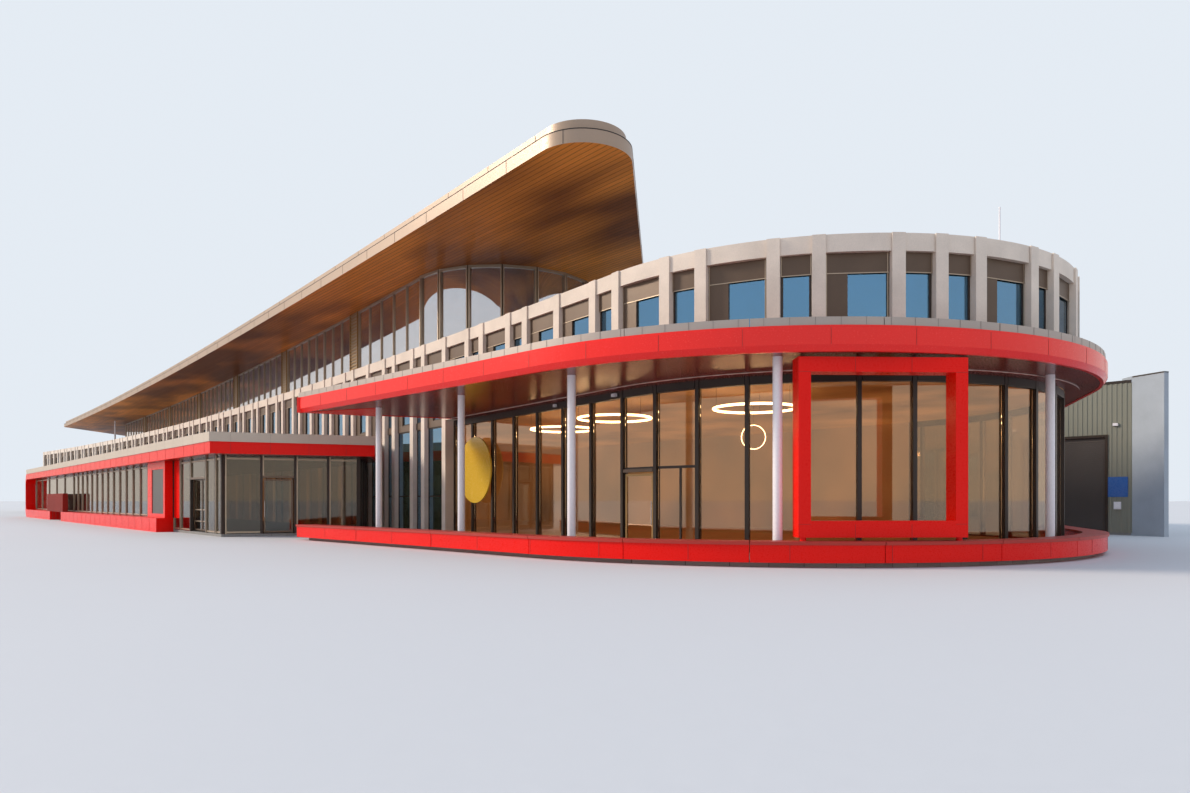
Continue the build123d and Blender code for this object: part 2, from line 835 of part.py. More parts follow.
# Panes between the posts: full height, or only over a door, or only under the red panel by the poster box
sliding_lintel = sliding_head + frame_width
side_lintel = side_door_head + 2 * door_gap + frame_width
front_gaps = pairs([front_ends[0]] + front_posts + [front_ends[1]])
end_gaps = pairs([corner_inset] + end_posts + [end_length - corner_inset])
return_gaps = pairs([corner_inset + 2 * fit] + return_posts)
far_gaps = pairs([corner_inset] + far_posts + [far_length + post_half])
sliding_gap = (sliding_left_x, sliding_right_x)
infill_gap = (poster_right_x, fixed_left_x)
side_gap = (side_door_start, side_door_end)
front_full = [gap for gap in front_gaps if gap not in (sliding_gap, infill_gap)]
end_full = [gap for gap in end_gaps if gap != side_gap]


def panes(plane, line, gaps, top):
    """Panes between pairs of posts, from a plane up to a height."""
    with BuildPart() as made:
        with BuildSketch(plane):
            for left, right in gaps:
                with Locations(((left + right) / 2, line)):
                    Rectangle(right - left - frame_width - 2 * fit, pane)
        extrude(amount=top)
    return made.part


with BuildPart() as pavilion_glass:
    add(panes(front_plane, front_line, front_full, glass_height))
    add(panes(front_plane.offset(sliding_lintel), front_line, [sliding_gap], glass_height - sliding_lintel))
    add(panes(front_plane, front_line, [infill_gap], base_height - floor_top))
    add(panes(near_plane, side_line, end_full, glass_height))
    add(panes(near_plane.offset(side_lintel), side_line, [side_gap], glass_height - side_lintel))
    add(panes(return_plane, side_line, return_gaps, glass_height))
    add(panes(far_plane, -side_line, far_gaps, glass_height))

# Red base walls of the pavilion, with the slatted screen that stands across the gap between them
with BuildPart() as pavilion_base:
    with BuildSketch():
        for left, right in ((corner_x, base_gap[0]), (base_gap[1], base_right_x)):
            with Locations(((left + right) / 2, eaves_y)):
                Rectangle(right - left, eaves_reach - hang_gap, align=low_edge)
    extrude(amount=base_height)

with BuildPart() as ribbed_screen:
    with BuildSketch(Plane.XY.offset(base_height)):
        with Locations(((screen_left_x + screen_right_x) / 2, eaves_y)):
            Rectangle(screen_right_x - screen_left_x, screen_thickness, align=low_edge)
    extrude(amount=screen_top - base_height)

# Poster box on the base's end, its blank panel, and the red panel that fills the bay beside it
poster_y = face_y - poster_reach
poster_plane = upright_plane((poster_left_x + poster_right_x) / 2, poster_y, 0, base_height)
poster_width = poster_right_x - poster_left_x
poster_height = pavilion_head - base_height
panel_width = poster_width - poster_left_margin - poster_right_margin
panel_height = poster_height - poster_foot - poster_head_margin
panel_foot = ((poster_left_margin - poster_right_margin) / 2, poster_foot)

with BuildPart() as poster_box:
    with BuildSketch(poster_plane):
        Rectangle(poster_width, poster_height, align=low_edge)
    extrude(amount=hang_gap - poster_reach)
    with BuildSketch(poster_plane):
        with Locations(panel_foot):
            Rectangle(panel_width, panel_height, align=low_edge)
    extrude(amount=-poster_recess, mode=Mode.SUBTRACT)
    with BuildSketch(Plane.XY.offset(base_height)):
        with Locations(((poster_right_x + fixed_left_x) / 2, front_line)):
            Rectangle(fixed_left_x - poster_right_x - frame_width - 2 * fit, panel)
    extrude(amount=poster_height)

with BuildPart() as poster_panel:
    with BuildSketch(poster_plane.offset(-poster_recess)):
        with Locations(panel_foot):
            Rectangle(panel_width, panel_height, align=low_edge)
    extrude(amount=poster_panel_thickness)


def door_leaf(plane, width, height):
    """Frame of a glazed leaf: a ring of rails, standing in a plane that looks out of the building."""
    with BuildPart() as leaf:
        with BuildSketch(plane):
            Rectangle(width, height, align=low_edge)
            with Locations((0, leaf_rail)):
                Rectangle(width - 2 * leaf_rail, height - 2 * leaf_rail, align=low_edge, mode=Mode.SUBTRACT)
        extrude(amount=leaf_thickness)
    return leaf.part


def leaf_pane(plane, width, height):
    """Pane of a glazed leaf, in the middle of its rails."""
    with BuildPart() as glass:
        with BuildSketch(plane.offset((leaf_thickness - leaf_glass) / 2)):
            with Locations((0, leaf_rail)):
                Rectangle(width - 2 * leaf_rail, height - 2 * leaf_rail, align=low_edge)
        extrude(amount=leaf_glass)
    return glass.part


# Places of the leaves: a sliding pair, a side door in the near end and the terrace door
leaf_foot = floor_top + door_gap
sliding_y = face_y + frame_depth + door_gap + leaf_thickness
sliding_width = (sliding_right_x - sliding_left_x) / 2 - door_gap / 2 + post_half
sliding_height = sliding_head - door_gap
sliding_middle = (sliding_left_x + sliding_right_x) / 2
sliding_step = (door_gap + sliding_width) / 2
left_plane = upright_plane(sliding_middle - sliding_step, sliding_y, 0, leaf_foot)
right_plane = upright_plane(sliding_middle + sliding_step, sliding_y, 0, leaf_foot)

side_width = side_door_width - frame_width - 2 * door_gap
side_foot = side_door_start + side_door_width / 2
side_spot = moved(near_corner, end_angle, side_foot, -(frame_depth + leaf_thickness) / 2)
side_plane = upright_plane(*side_spot, end_angle, leaf_foot)

door_place, door_clear = door_bay
terrace_width = door_clear + 2 * fit - 2 * door_gap
terrace_angle = sum(door_angles) / 2 + 90
terrace_spot = (door_place * Location((0, leaf_thickness / 2, 0))).position
terrace_plane = upright_plane(terrace_spot.X, terrace_spot.Y, terrace_angle, leaf_foot)

# What carries the leaves: a track box over the sliding pair, pivots for the hinged ones, and a rail over each
side_hinge = moved(near_corner, end_angle, side_foot + side_width / 2 - pivot_inset, -frame_depth / 2)
terrace_pin = (door_place * Location((pivot_inset - terrace_width / 2, 0, 0))).position
terrace_hinge = (terrace_pin.X, terrace_pin.Y)
track_bottom = leaf_foot + sliding_height + hang_gap
track_length = 2 * sliding_width + door_gap + 2 * sliding_travel

with BuildPart() as door_hardware:
    with BuildSketch(front_plane.offset(sliding_head)):
        with Locations((sliding_middle, front_line)):
            Rectangle(sliding_right_x - sliding_left_x - frame_width - 2 * fit, frame_depth)
    extrude(amount=frame_width)
    with BuildSketch(Plane.XY.offset(track_bottom)):
        with Locations((sliding_middle, face_y + frame_depth)):
            Rectangle(track_length, door_gap + leaf_thickness + joint, align=low_edge)
    extrude(amount=frame_width)
    with BuildSketch(near_plane.offset(side_door_head + 2 * door_gap)):
        with Locations((side_foot, side_line)):
            Rectangle(side_door_width - frame_width - 2 * fit, frame_depth)
    extrude(amount=frame_width)
    with BuildSketch(Plane.XY.offset(terrace_head_bottom)):
        with Locations(head_bay[0]):
            Rectangle(head_bay[1], mullion_depth, align=low_edge)
    extrude(amount=frame_width)
    for spot, height in ((side_hinge, side_door_head), (terrace_hinge, terrace_door_head)):
        for level in (floor_top, leaf_foot + height + hang_gap):
            with BuildSketch(Plane.XY.offset(level)):
                with Locations(spot):
                    Circle(pivot_radius)
            extrude(amount=door_gap - hang_gap)



# Rear store with a skewed right side, its roller shutter, a blank sign and the dock's wing wall
def store_edge(y, depth=0):
    """X of the store's skewed right side at a given Y, depth into the store."""
    return store_right_x - (y - store_face_y) * tan(radians(near_skew)) - depth / cos(radians(near_skew))


def store_plan():
    """Plan of the store, which meets the back of the main building."""
    back = ((store_edge(store_back_y), store_back_y), (store_far_x, store_back_y))
    link = ((store_link_x, drum_radius), (store_link_x, store_face_y))
    return outline((store_far_x, drum_radius), *link, (store_right_x, store_face_y), *back)


link_inner = store_link_x + store_wall
face_inner = store_face_y + store_wall
back_inner = store_back_y - store_wall
shutter_x = store_right_x - shutter_from_corner - shutter_width
store_inner_side = [(store_edge(y, store_wall), y) for y in (face_inner, back_inner)]

with BuildPart() as store_floor:
    with BuildSketch():
        add(store_plan())
    extrude(amount=floor_top)

with BuildPart() as store_front_wall:
    with BuildSketch(Plane.XY.offset(floor_top)):
        right = ((store_right_x, store_face_y), (store_edge(face_inner), face_inner))
        add(outline((link_inner, store_face_y), *right, (link_inner, face_inner)))
    extrude(amount=store_top - floor_top)
    with BuildSketch(Plane.XY.offset(floor_top)):
        with Locations((shutter_x, store_face_y)):
            Rectangle(shutter_width, store_wall, align=(Align.MIN, Align.MIN))
    extrude(amount=shutter_head - floor_top, mode=Mode.SUBTRACT)

with BuildPart() as store_back_wall:
    with BuildSketch(Plane.XY.offset(floor_top)):
        right = ((store_edge(back_inner), back_inner), (store_edge(store_back_y), store_back_y))
        add(outline((store_far_x, back_inner), *right, (store_far_x, store_back_y)))
    extrude(amount=store_top - floor_top)

with BuildPart() as store_side_walls:
    with BuildSketch(Plane.XY.offset(floor_top)):
        with Locations((store_far_x, drum_radius)):
            Rectangle(store_wall, back_inner - drum_radius, align=(Align.MIN, Align.MIN))
        with Locations((store_link_x, drum_radius)):
            Rectangle(store_wall, face_inner - drum_radius, align=(Align.MIN, Align.MIN))
        outer = ((store_edge(face_inner), face_inner), (store_edge(back_inner), back_inner))
        add(outline(*outer, *reversed(store_inner_side)))
    extrude(amount=store_top - floor_top)

with BuildPart() as store_roof:
    with BuildSketch(Plane.XY.offset(store_top - 2 * store_wall)):
        far = store_far_x + store_wall
        link = ((store_link_x, drum_radius), (store_link_x, face_inner))
        add(outline((far, drum_radius), *link, *store_inner_side, (far, back_inner)))
    extrude(amount=store_wall)

with BuildPart() as roller_shutter:
    with BuildSketch(Plane.XY.offset(floor_top)):
        with Locations((shutter_x, store_face_y + store_wall / 3)):
            Rectangle(shutter_width, shutter_thickness, align=(Align.MIN, Align.MIN))
    extrude(amount=shutter_head - floor_top)

with BuildPart() as wall_sign:
    with BuildSketch(Plane.XY.offset(wall_sign_bottom)):
        with Locations((store_right_x - wall_sign_from_corner, store_face_y)):
            Rectangle(wall_sign_width, wall_sign_thickness, align=(Align.MAX, Align.MAX))
    extrude(amount=wall_sign_height)

dock_angle, dock_length = heading((store_right_x, store_face_y), dock_wall_end)

with BuildPart() as dock_wall:
    with BuildSketch():
        with Locations(Location((*dock_wall_end, 0), (0, 0, dock_angle))):
            Rectangle(2 * dock_length, dock_wall_thickness, align=(Align.MAX, Align.MIN))
        add(store_plan(), mode=Mode.SUBTRACT)
    extrude(amount=dock_wall_top)


# Top storey: a glass ring under the big roof, broken by the louvred panels
def bow_centre(near, far, radius):
    """Centre of the circle through both ends of a front that bows away from the road."""
    half = hypot(far[0] - near[0], far[1] - near[1]) / 2
    side = atan2(far[1] - near[1], far[0] - near[0]) - radians(90)
    drop = (radius**2 - half**2) ** 0.5
    return ((near[0] + far[0]) / 2 - drop * cos(side), (near[1] + far[1]) / 2 - drop * sin(side))


def bow_point(centre, radius, x):
    """Point of a bowed front at a given X."""
    return (x, centre[1] + (radius**2 - (x - centre[0]) ** 2) ** 0.5)


def bow_corner(centre, radius, corner, lean, shift):
    """Where a bowed front meets an end line that leans and is moved sideways by shift."""
    x, y = corner
    for _ in range(6):
        x = corner[0] - (y - corner[1]) * tan(radians(lean)) + shift / cos(radians(lean))
        y = bow_point(centre, radius, x)[1]
    return (x, y)


def skewed(near, far, radius, back_y, near_radius, corner_radius, depth):
    """Long plan with a bowed front and two leaning ends, moved inwards by depth, its corners rounded."""
    centre = bow_centre(near, far, radius)
    front_near = bow_corner(centre, radius + depth, near, near_skew, -depth)
    front_far = bow_corner(centre, radius + depth, far, far_skew, depth)
    back = back_y - depth
    near_back = front_near[0] - (back - front_near[1]) * tan(radians(near_skew))
    far_back = front_far[0] - (back - front_far[1]) * tan(radians(far_skew))
    middle = bow_point(centre, radius + depth, (front_near[0] + front_far[0]) / 2)
    with BuildSketch() as face:
        with BuildLine():
            ThreePointArc(front_near, middle, front_far)
            Polyline(front_far, (far_back, back), (near_back, back), front_near)
        make_face()
        nose = face.vertices().sort_by(Axis.X)[-1]
        fillet(nose, near_radius - depth)
        others = face.vertices().sort_by(Axis.X)[:-2]
        fillet(others, corner_radius - depth)
    return face.sketch


def glass_plan(depth):
    """Plan of the top storey's glass ring, moved inwards by depth."""
    size = (glass_front_radius, glass_back_y, glass_corner_radius, roof_corner_radius)
    return skewed(glass_near, glass_far, *size, depth)


def roof_plan(depth):
    """Plan of the big roof, moved inwards by depth."""
    size = (roof_front_radius, roof_back_y, roof_nose_radius, roof_corner_radius)
    return skewed(roof_nose, roof_far, *size, depth)


glass_centre = bow_centre(glass_near, glass_far, glass_front_radius)
louvre_count = int((louvre_start_x - glass_far[0]) / louvre_pitch)


def louvre_places():
    """Places of the louvred panels along the front and back of the glass ring."""
    places = []
    for i in range(louvre_count):
        x, y = bow_point(glass_centre, glass_front_radius, louvre_start_x - (i + 0.5) * louvre_pitch)
        places.append(Location((x, y, 0), (0, 0, heading(glass_centre, (x, y))[0] - 90)))
        places.append(Location((x - louvre_pitch, glass_back_y, 0)))
    return places


def corner_places():
    """Places of the upright joints at the round corners of the glass ring."""
    large = glass_corner_radius
    small = roof_corner_radius
    near = bow_corner(glass_centre, glass_front_radius + large, glass_near, near_skew, -large)
    far = bow_corner(glass_centre, glass_front_radius + small, glass_far, far_skew, small)
    line_y = glass_back_y - small
    near_back = crossing(moved(glass_near, 90 + near_skew, 0, -small), 90 + near_skew, (0, line_y), 0)
    far_back = crossing(moved(glass_far, 90 + far_skew, 0, small), 90 + far_skew, (0, line_y), 0)
    corners = (
        (near, large, heading(near, glass_centre)[0], near_skew, glass_corner_panes),
        (near_back, small, near_skew, 90, 1),
        (far_back, small, 90, 180 + far_skew, 2),
        (far, small, 180 + far_skew, 360 + heading(far, glass_centre)[0], 1),
    )
    places = []
    for hub, radius, start, end, count in corners:
        for i in range(count + 1):
            angle = start + i * (end - start) / count
            places.append(Location((*moved(hub, angle, radius), 0), (0, 0, angle + 90)))
    return places


with BuildPart() as top_storey_glass:
    with BuildSketch(Plane.XY.offset(deck_top)):
        add(glass_plan(0))
        add(glass_plan(pane), mode=Mode.SUBTRACT)
        with Locations(*louvre_places()):
            Rectangle(louvre_width, 4 * louvre_depth, mode=Mode.SUBTRACT)
        with Locations(*corner_places()):
            Rectangle(joint, 4 * louvre_depth, mode=Mode.SUBTRACT)
    extrude(amount=roof_bottom - deck_top)

with BuildPart() as top_storey_louvres:
    with BuildSketch(Plane.XY.offset(deck_top)):
        with Locations(*louvre_places()):
            Rectangle(louvre_width - 2 * fit, louvre_depth)
    extrude(amount=roof_bottom - deck_top)

with BuildPart() as roof_plate:
    with BuildSketch(Plane.XY.offset(roof_bottom)):
        add(roof_plan(0))
    extrude(amount=roof_layer)

with BuildPart() as roof_cover:
    with BuildSketch(Plane.XY.offset(roof_bottom + roof_layer)):
        add(roof_plan(roof_step))
    extrude(amount=roof_upper_layer)

with BuildPart() as roof_posts:
    with BuildSketch(Plane.XY.offset(deck_top)):
        with Locations(*post_spots):
            Circle(post_diameter / 2)
    extrude(amount=roof_bottom - deck_top)

with BuildPart() as mast:
    with BuildSketch(Plane.XY.offset(deck_top)):
        with Locations(mast_spot):
            Circle(mast_diameter / 2)
    extrude(amount=mast_top - deck_top)

keep(main_floor.part, "main_floor")
keep(upper_floor.part, "upper_floor")
keep(main_roof_deck.part, "main_roof_deck")
keep(ring_beam.part, "ring_beam")
keep(facade_piers.part, "facade_piers")
keep(parapet_beams.part, "parapet_beams")
keep(facade_glass.part, "facade_glass")
keep(window_panels.part, "window_panels")
keep(floor_beams.part, "floor_beams")
keep(end_wall.part, "end_wall")
keep(rear_wall.part, "rear_wall")
keep(restaurant_mullions.part, "restaurant_mullions")
keep(restaurant_head.part, "restaurant_head")
keep(restaurant_glass.part, "restaurant_glass")
keep(terrace_sign.part, "terrace_sign")
keep(terrace_floor.part, "terrace_floor")
keep(terrace_wall.part, "terrace_wall")
keep(terrace_wall_cap.part, "terrace_wall_cap")
keep(canopy_deck.part, "canopy_deck")
keep(canopy_columns.part, "canopy_columns")
keep(portal.part, "portal")
keep(pavilion_floor.part, "pavilion_floor")
keep(pavilion_roof.part, "pavilion_roof")
keep(pavilion_fascia.part, "pavilion_fascia")
keep(pavilion_cap.part, "pavilion_cap")
keep(pavilion_end_band.part, "pavilion_end_band")
keep(pavilion_posts.part, "pavilion_posts")
keep(pavilion_glass.part, "pavilion_glass")
keep(pavilion_base.part, "pavilion_base")
keep(ribbed_screen.part, "ribbed_screen")
keep(poster_box.part, "poster_box")
keep(poster_panel.part, "poster_panel")
keep(door_hardware.part, "door_hardware")
keep(store_floor.part, "store_floor")
keep(store_front_wall.part, "store_front_wall")
keep(store_back_wall.part, "store_back_wall")
keep(store_side_walls.part, "store_side_walls")
keep(store_roof.part, "store_roof")
keep(roller_shutter.part, "roller_shutter")
keep(wall_sign.part, "wall_sign")
keep(dock_wall.part, "dock_wall")
keep(top_storey_glass.part, "top_storey_glass")
keep(top_storey_louvres.part, "top_storey_louvres")
keep(roof_plate.part, "roof_plate")
keep(roof_cover.part, "roof_cover")
keep(roof_posts.part, "roof_posts")
keep(mast.part, "mast")
keep(canopy_fascia, "canopy_fascia")
keep(canopy_cap, "canopy_cap")

leaves = {
    "sliding_leaf_left": (left_plane, sliding_width, sliding_height),
    "sliding_leaf_right": (right_plane, sliding_width, sliding_height),
    "side_leaf": (side_plane, side_width, side_door_head),
    "terrace_leaf": (terrace_plane, terrace_width, terrace_door_head),
}
for name, (plane, width, height) in leaves.items():
    keep(door_leaf(plane, width, height), name)
    keep(leaf_pane(plane, width, height), name.replace("leaf", "pane"))
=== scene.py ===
# Looks of the supermarket building: materials, window bars, joints, slats, lamps, light, floor and camera.
# Everything is in metres of the 1:10 model. X runs along the building towards its round end, Y goes back from
# the road, Z is up.
from math import acos, atan2, cos, degrees, hypot, pi, radians, sin, tan

import bpy
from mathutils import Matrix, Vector


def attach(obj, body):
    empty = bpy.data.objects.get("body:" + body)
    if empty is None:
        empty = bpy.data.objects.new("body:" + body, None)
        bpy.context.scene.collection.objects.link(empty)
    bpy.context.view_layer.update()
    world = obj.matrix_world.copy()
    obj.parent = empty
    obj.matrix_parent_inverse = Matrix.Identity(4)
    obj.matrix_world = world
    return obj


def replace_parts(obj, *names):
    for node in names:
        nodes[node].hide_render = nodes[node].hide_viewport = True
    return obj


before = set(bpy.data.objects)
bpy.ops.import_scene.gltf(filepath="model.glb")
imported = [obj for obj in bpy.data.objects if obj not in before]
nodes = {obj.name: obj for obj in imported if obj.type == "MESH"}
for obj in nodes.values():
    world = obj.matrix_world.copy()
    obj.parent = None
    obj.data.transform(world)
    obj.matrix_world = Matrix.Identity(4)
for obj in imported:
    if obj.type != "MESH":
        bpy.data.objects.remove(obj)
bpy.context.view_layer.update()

# Levels
FLOOR_TOP = 0.012
SOFFIT = 0.510
FASCIA_TOP = 0.571
CAP_TOP = 0.591
ROOF_BOTTOM = 1.250
ROOF_SPLIT = 1.295
ROOF_TOP = 1.330
PAVILION_HEAD = 0.355
PAVILION_FASCIA_TOP = 0.405
PAVILION_CAP_TOP = 0.445
BASE_TOP = 0.070
SCREEN_TOP = 0.208
STORE_TOP = 0.705
SHUTTER_HEAD = 0.450
DOCK_TOP = 0.720

# Plan
DRUM_RADIUS = 0.895
FRONT_RADIUS = 59.8
FRONT_LEAN = 6.3
CANOPY_CENTRE = (-0.091, -0.176)
CANOPY_RADIUS = 1.105
CANOPY_BACK_ANGLE = 28
END_ANGLE = 71.1
TERRACE_END_STATION = 1.168
TERRACE_END_LENGTH = 0.621
EAVES_Y = -1.588
NEAR_CORNER = (-1.920, -1.510)
END_OVERHANG = 0.130
EAVES_RETURN = 0.640
BAND_X = -7.466
BASE_END_X = -2.69
STORE_RIGHT_X = 0.660
STORE_FACE_Y = 1.610
STORE_BACK_Y = 3.000
STORE_FAR_X = -11.0
STORE_LINK_X = -0.800
STORE_SKEW = 43
SHUTTER = (0.207, 0.557)
DOCK_END = (0.800, 1.540)
DOCK_LENGTH = 0.15

# Fine joints: half of their width, and how far they reach from a face, outwards negative
JOINT_HALF = 0.0006
SEAM_HALF = 0.0005
JOINT_REACH = (-0.0005, 0.003)


# Geometry of the plan, as in the model's source
def moved(point, angle, along, aside=0.0):
    """Point moved along a direction in degrees, and aside to the right of it."""
    turn = radians(angle)
    x, y = point
    return (x + along * cos(turn) + aside * sin(turn), y + along * sin(turn) - aside * cos(turn))


def heading(start, end):
    """Angle in degrees and length of the way from one point to another."""
    return degrees(atan2(end[1] - start[1], end[0] - start[0])), hypot(end[0] - start[0], end[1] - start[1])


def front_at(station, depth=0.0):
    """Point on the long front, station leftwards from the round end and depth into the building."""
    reach = FRONT_RADIUS + DRUM_RADIUS
    centre = (-reach * sin(radians(FRONT_LEAN)), -reach * cos(radians(FRONT_LEAN)))
    return moved(centre, 90 - FRONT_LEAN + degrees(station / FRONT_RADIUS), FRONT_RADIUS + depth)


def canopy_at(angle):
    """Point on the round part of the canopy's edge."""
    return moved(CANOPY_CENTRE, angle, CANOPY_RADIUS)


def drum_at(angle):
    """Point on the face of the round end."""
    return moved((0, 0), angle, DRUM_RADIUS)


def arc(start, end, count, place):
    """Points of a round line between two angles."""
    return [place(start + (end - start) * i / count) for i in range(count + 1)]


# The canopy's edge: free end, road edge, round, back edge
canopy_corner = moved(front_at(TERRACE_END_STATION), END_ANGLE, -TERRACE_END_LENGTH)
corner_angle, corner_reach = heading(CANOPY_CENTRE, canopy_corner)
tangent_angle = corner_angle + degrees(acos(CANOPY_RADIUS / corner_reach))
back_start = canopy_at(CANOPY_BACK_ANGLE)
back_run = (DRUM_RADIUS - back_start[1]) / cos(radians(CANOPY_BACK_ANGLE))
canopy_round = arc(tangent_angle, CANOPY_BACK_ANGLE, 64, canopy_at)
canopy_back = moved(back_start, CANOPY_BACK_ANGLE + 90, back_run)
canopy_edge = [canopy_corner] + canopy_round + [canopy_back]
road_angle = heading(canopy_corner, canopy_round[0])[0]

# The pavilion's eaves: along the road, then along the end
end_line = moved(NEAR_CORNER, END_ANGLE, 0, END_OVERHANG)
eaves_corner = moved(end_line, END_ANGLE, (EAVES_Y - end_line[1]) / sin(radians(END_ANGLE)))
eaves = [(BAND_X, EAVES_Y), eaves_corner, moved(eaves_corner, END_ANGLE, EAVES_RETURN)]


# Spans and profiles
def about(middle, half):
    """From and to of a strip on both sides of its middle."""
    return (middle - half, middle + half)


def beside(face, reach):
    """From and to of a strip, counted from a face."""
    return (face + reach[0], face + reach[1])


def ends(span, width):
    """The two strips of a width at the ends of a span."""
    return ((span[0], span[0] + width), (span[1] - width, span[1]))


def strip(aside, level):
    """Rectangular profile between two distances outwards and two levels."""
    return [(aside[0], level[0]), (aside[1], level[0]), (aside[1], level[1]), (aside[0], level[1])]


def spot_on(place, along, aside, level):
    """Point at a distance along and aside of a place (x, y, turn in radians)."""
    x, y, turn = place
    return (x + along * cos(turn) - aside * sin(turn), y + along * sin(turn) + aside * cos(turn), level)


BOX_FACES = ((0, 2, 6, 4), (1, 5, 7, 3), (0, 1, 3, 2), (4, 6, 7, 5), (0, 4, 5, 1), (2, 3, 7, 6))


class Shape:
    """Points and faces of a piece that is still being built."""

    def __init__(self):
        self.points = []
        self.faces = []

    def block(self, place, along, aside, level):
        """One box. place is (x, y, turn in radians); along, aside and level are each (from, to)."""
        first = len(self.points)
        for a in along:
            for b in aside:
                for z in level:
                    self.points.append(spot_on(place, a, b, z))
        self.faces += [tuple(first + i for i in face) for face in BOX_FACES]

    def sweep(self, path, profile):
        """A profile of (outward, level) corners along a path, with closed ends. Outward is to the right."""
        first = len(self.points)
        count = len(profile)
        for i, (x, y) in enumerate(path):
            before = path[max(i - 1, 0)]
            after = path[min(i + 1, len(path) - 1)]
            angle_in = heading(before, (x, y))[0] if i else heading((x, y), after)[0]
            angle_out = heading((x, y), after)[0] if i < len(path) - 1 else angle_in
            turn = radians((angle_out - angle_in + 180) % 360 - 180)
            middle = radians(angle_in) + turn / 2
            stretch = 1 / cos(turn / 2)
            for out, level in profile:
                reach = out * stretch
                self.points.append((x + reach * sin(middle), y - reach * cos(middle), level))
        for i in range(len(path) - 1):
            for j in range(count):
                a = first + i * count + j
                b = first + i * count + (j + 1) % count
                self.faces.append((a, b, b + count, a + count))
        self.faces.append(tuple(first + count - 1 - j for j in range(count)))
        last = first + (len(path) - 1) * count
        self.faces.append(tuple(last + j for j in range(count)))

    def ring(self, centre, axis, radius, thick, around=48, across=8):
        """A round ring lying across an axis."""
        axis = Vector(axis).normalized()
        side = axis.orthogonal().normalized()
        up = axis.cross(side)
        first = len(self.points)
        for i in range(around):
            out = side * cos(2 * pi * i / around) + up * sin(2 * pi * i / around)
            for j in range(across):
                turn = 2 * pi * j / across
                point = Vector(centre) + out * (radius + thick * cos(turn)) + axis * thick * sin(turn)
                self.points.append(tuple(point))
        for i in range(around):
            for j in range(across):
                a = first + i * across + j
                b = first + i * across + (j + 1) % across
                c = first + (i + 1) % around * across + (j + 1) % across
                d = first + (i + 1) % around * across + j
                self.faces.append((a, d, c, b))

    def rod(self, start, end, radius, sides=10):
        """A round bar between two points."""
        start, end = Vector(start), Vector(end)
        axis = (end - start).normalized()
        side = axis.orthogonal().normalized()
        up = axis.cross(side)
        first = len(self.points)
        for i in range(sides):
            out = side * cos(2 * pi * i / sides) + up * sin(2 * pi * i / sides)
            self.points.append(tuple(start + out * radius))
            self.points.append(tuple(end + out * radius))
        for i in range(sides):
            a, b = first + 2 * i, first + 2 * ((i + 1) % sides)
            self.faces.append((a, b, b + 1, a + 1))
        self.faces.append(tuple(first + 2 * (sides - 1 - i) for i in range(sides)))
        self.faces.append(tuple(first + 2 * i + 1 for i in range(sides)))

    def joints(self, path, pitch, half, reach, level):
        """Fine upright strips each pitch along a path."""
        for place in walk(path, pitch):
            self.block(place, about(0, half), reach, level)

    def finish(self, name, material, body="building"):
        """Makes the piece and hands it to the frame."""
        mesh = bpy.data.meshes.new(name)
        mesh.from_pydata(self.points, [], self.faces)
        mesh.materials.append(material)
        piece = bpy.data.objects.new(name, mesh)
        bpy.context.scene.collection.objects.link(piece)
        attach(piece, body)
        return piece


def walk(path, pitch):
    """Places each pitch along a path, turned along it."""
    places = []
    rest = pitch
    for start, end in zip(path[:-1], path[1:]):
        angle, length = heading(start, end)
        while rest <= length:
            places.append((*moved(start, angle, rest), radians(angle)))
            rest += pitch
        rest -= length
    return places


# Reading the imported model
TOLERANCE = 0.001


def corner_of(vertex):
    """Rounded place of a vertex, the same for all the vertices at one corner."""
    return tuple(round(value, 5) for value in vertex.co)


def solids(node):
    """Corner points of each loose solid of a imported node."""
    mesh = nodes[node].data
    keys = [corner_of(vertex) for vertex in mesh.vertices]
    owner = {key: key for key in keys}

    def root(key):
        while owner[key] != key:
            owner[key] = owner[owner[key]]
            key = owner[key]
        return key

    for edge in mesh.edges:
        owner[root(keys[edge.vertices[0]])] = root(keys[edge.vertices[1]])
    groups = {}
    for key in owner:
        groups.setdefault(root(key), []).append(key)
    return list(groups.values())


def plate(points):
    """Place of an upright flat solid, and its spans along, aside and in level. Aside runs inwards."""
    count = len(points)
    x = sum(point[0] for point in points) / count
    y = sum(point[1] for point in points) / count
    xx = sum((point[0] - x) ** 2 for point in points)
    yy = sum((point[1] - y) ** 2 for point in points)
    xy = sum((point[0] - x) * (point[1] - y) for point in points)
    turn = atan2(2 * xy, xx - yy) / 2
    # The outside is away from the long axis and, round the end, away from its centre
    if -sin(turn) * max(x, 0) + cos(turn) * y > 0:
        turn += pi
    along = [(point[0] - x) * cos(turn) + (point[1] - y) * sin(turn) for point in points]
    aside = [-(point[0] - x) * sin(turn) + (point[1] - y) * cos(turn) for point in points]
    levels = [point[2] for point in points]
    return (x, y, turn), (min(along), max(along)), (min(aside), max(aside)), (min(levels), max(levels))


def rim(node, level):
    """Outline of a plate's bottom face, with its outside on the right and its first point also last."""
    mesh = nodes[node].data
    borders = {}
    for face in mesh.polygons:
        corners = [corner_of(mesh.vertices[i]) for i in face.vertices]
        if face.normal.z < -0.9 and abs(corners[0][2] - level) < TOLERANCE:
            for a, b in zip(corners, corners[1:] + corners[:1]):
                if (b, a) in borders:
                    del borders[(b, a)]
                else:
                    borders[(a, b)] = True
    following = {a: b for a, b in borders}
    start = next(iter(following))
    line = [start]
    while following[line[-1]] != start:
        line.append(following[line[-1]])
    path = [(x, y) for x, y, z in line + [start]]
    area = sum(a[0] * b[1] - b[0] * a[1] for a, b in zip(path[:-1], path[1:]))
    return path if area > 0 else path[::-1]


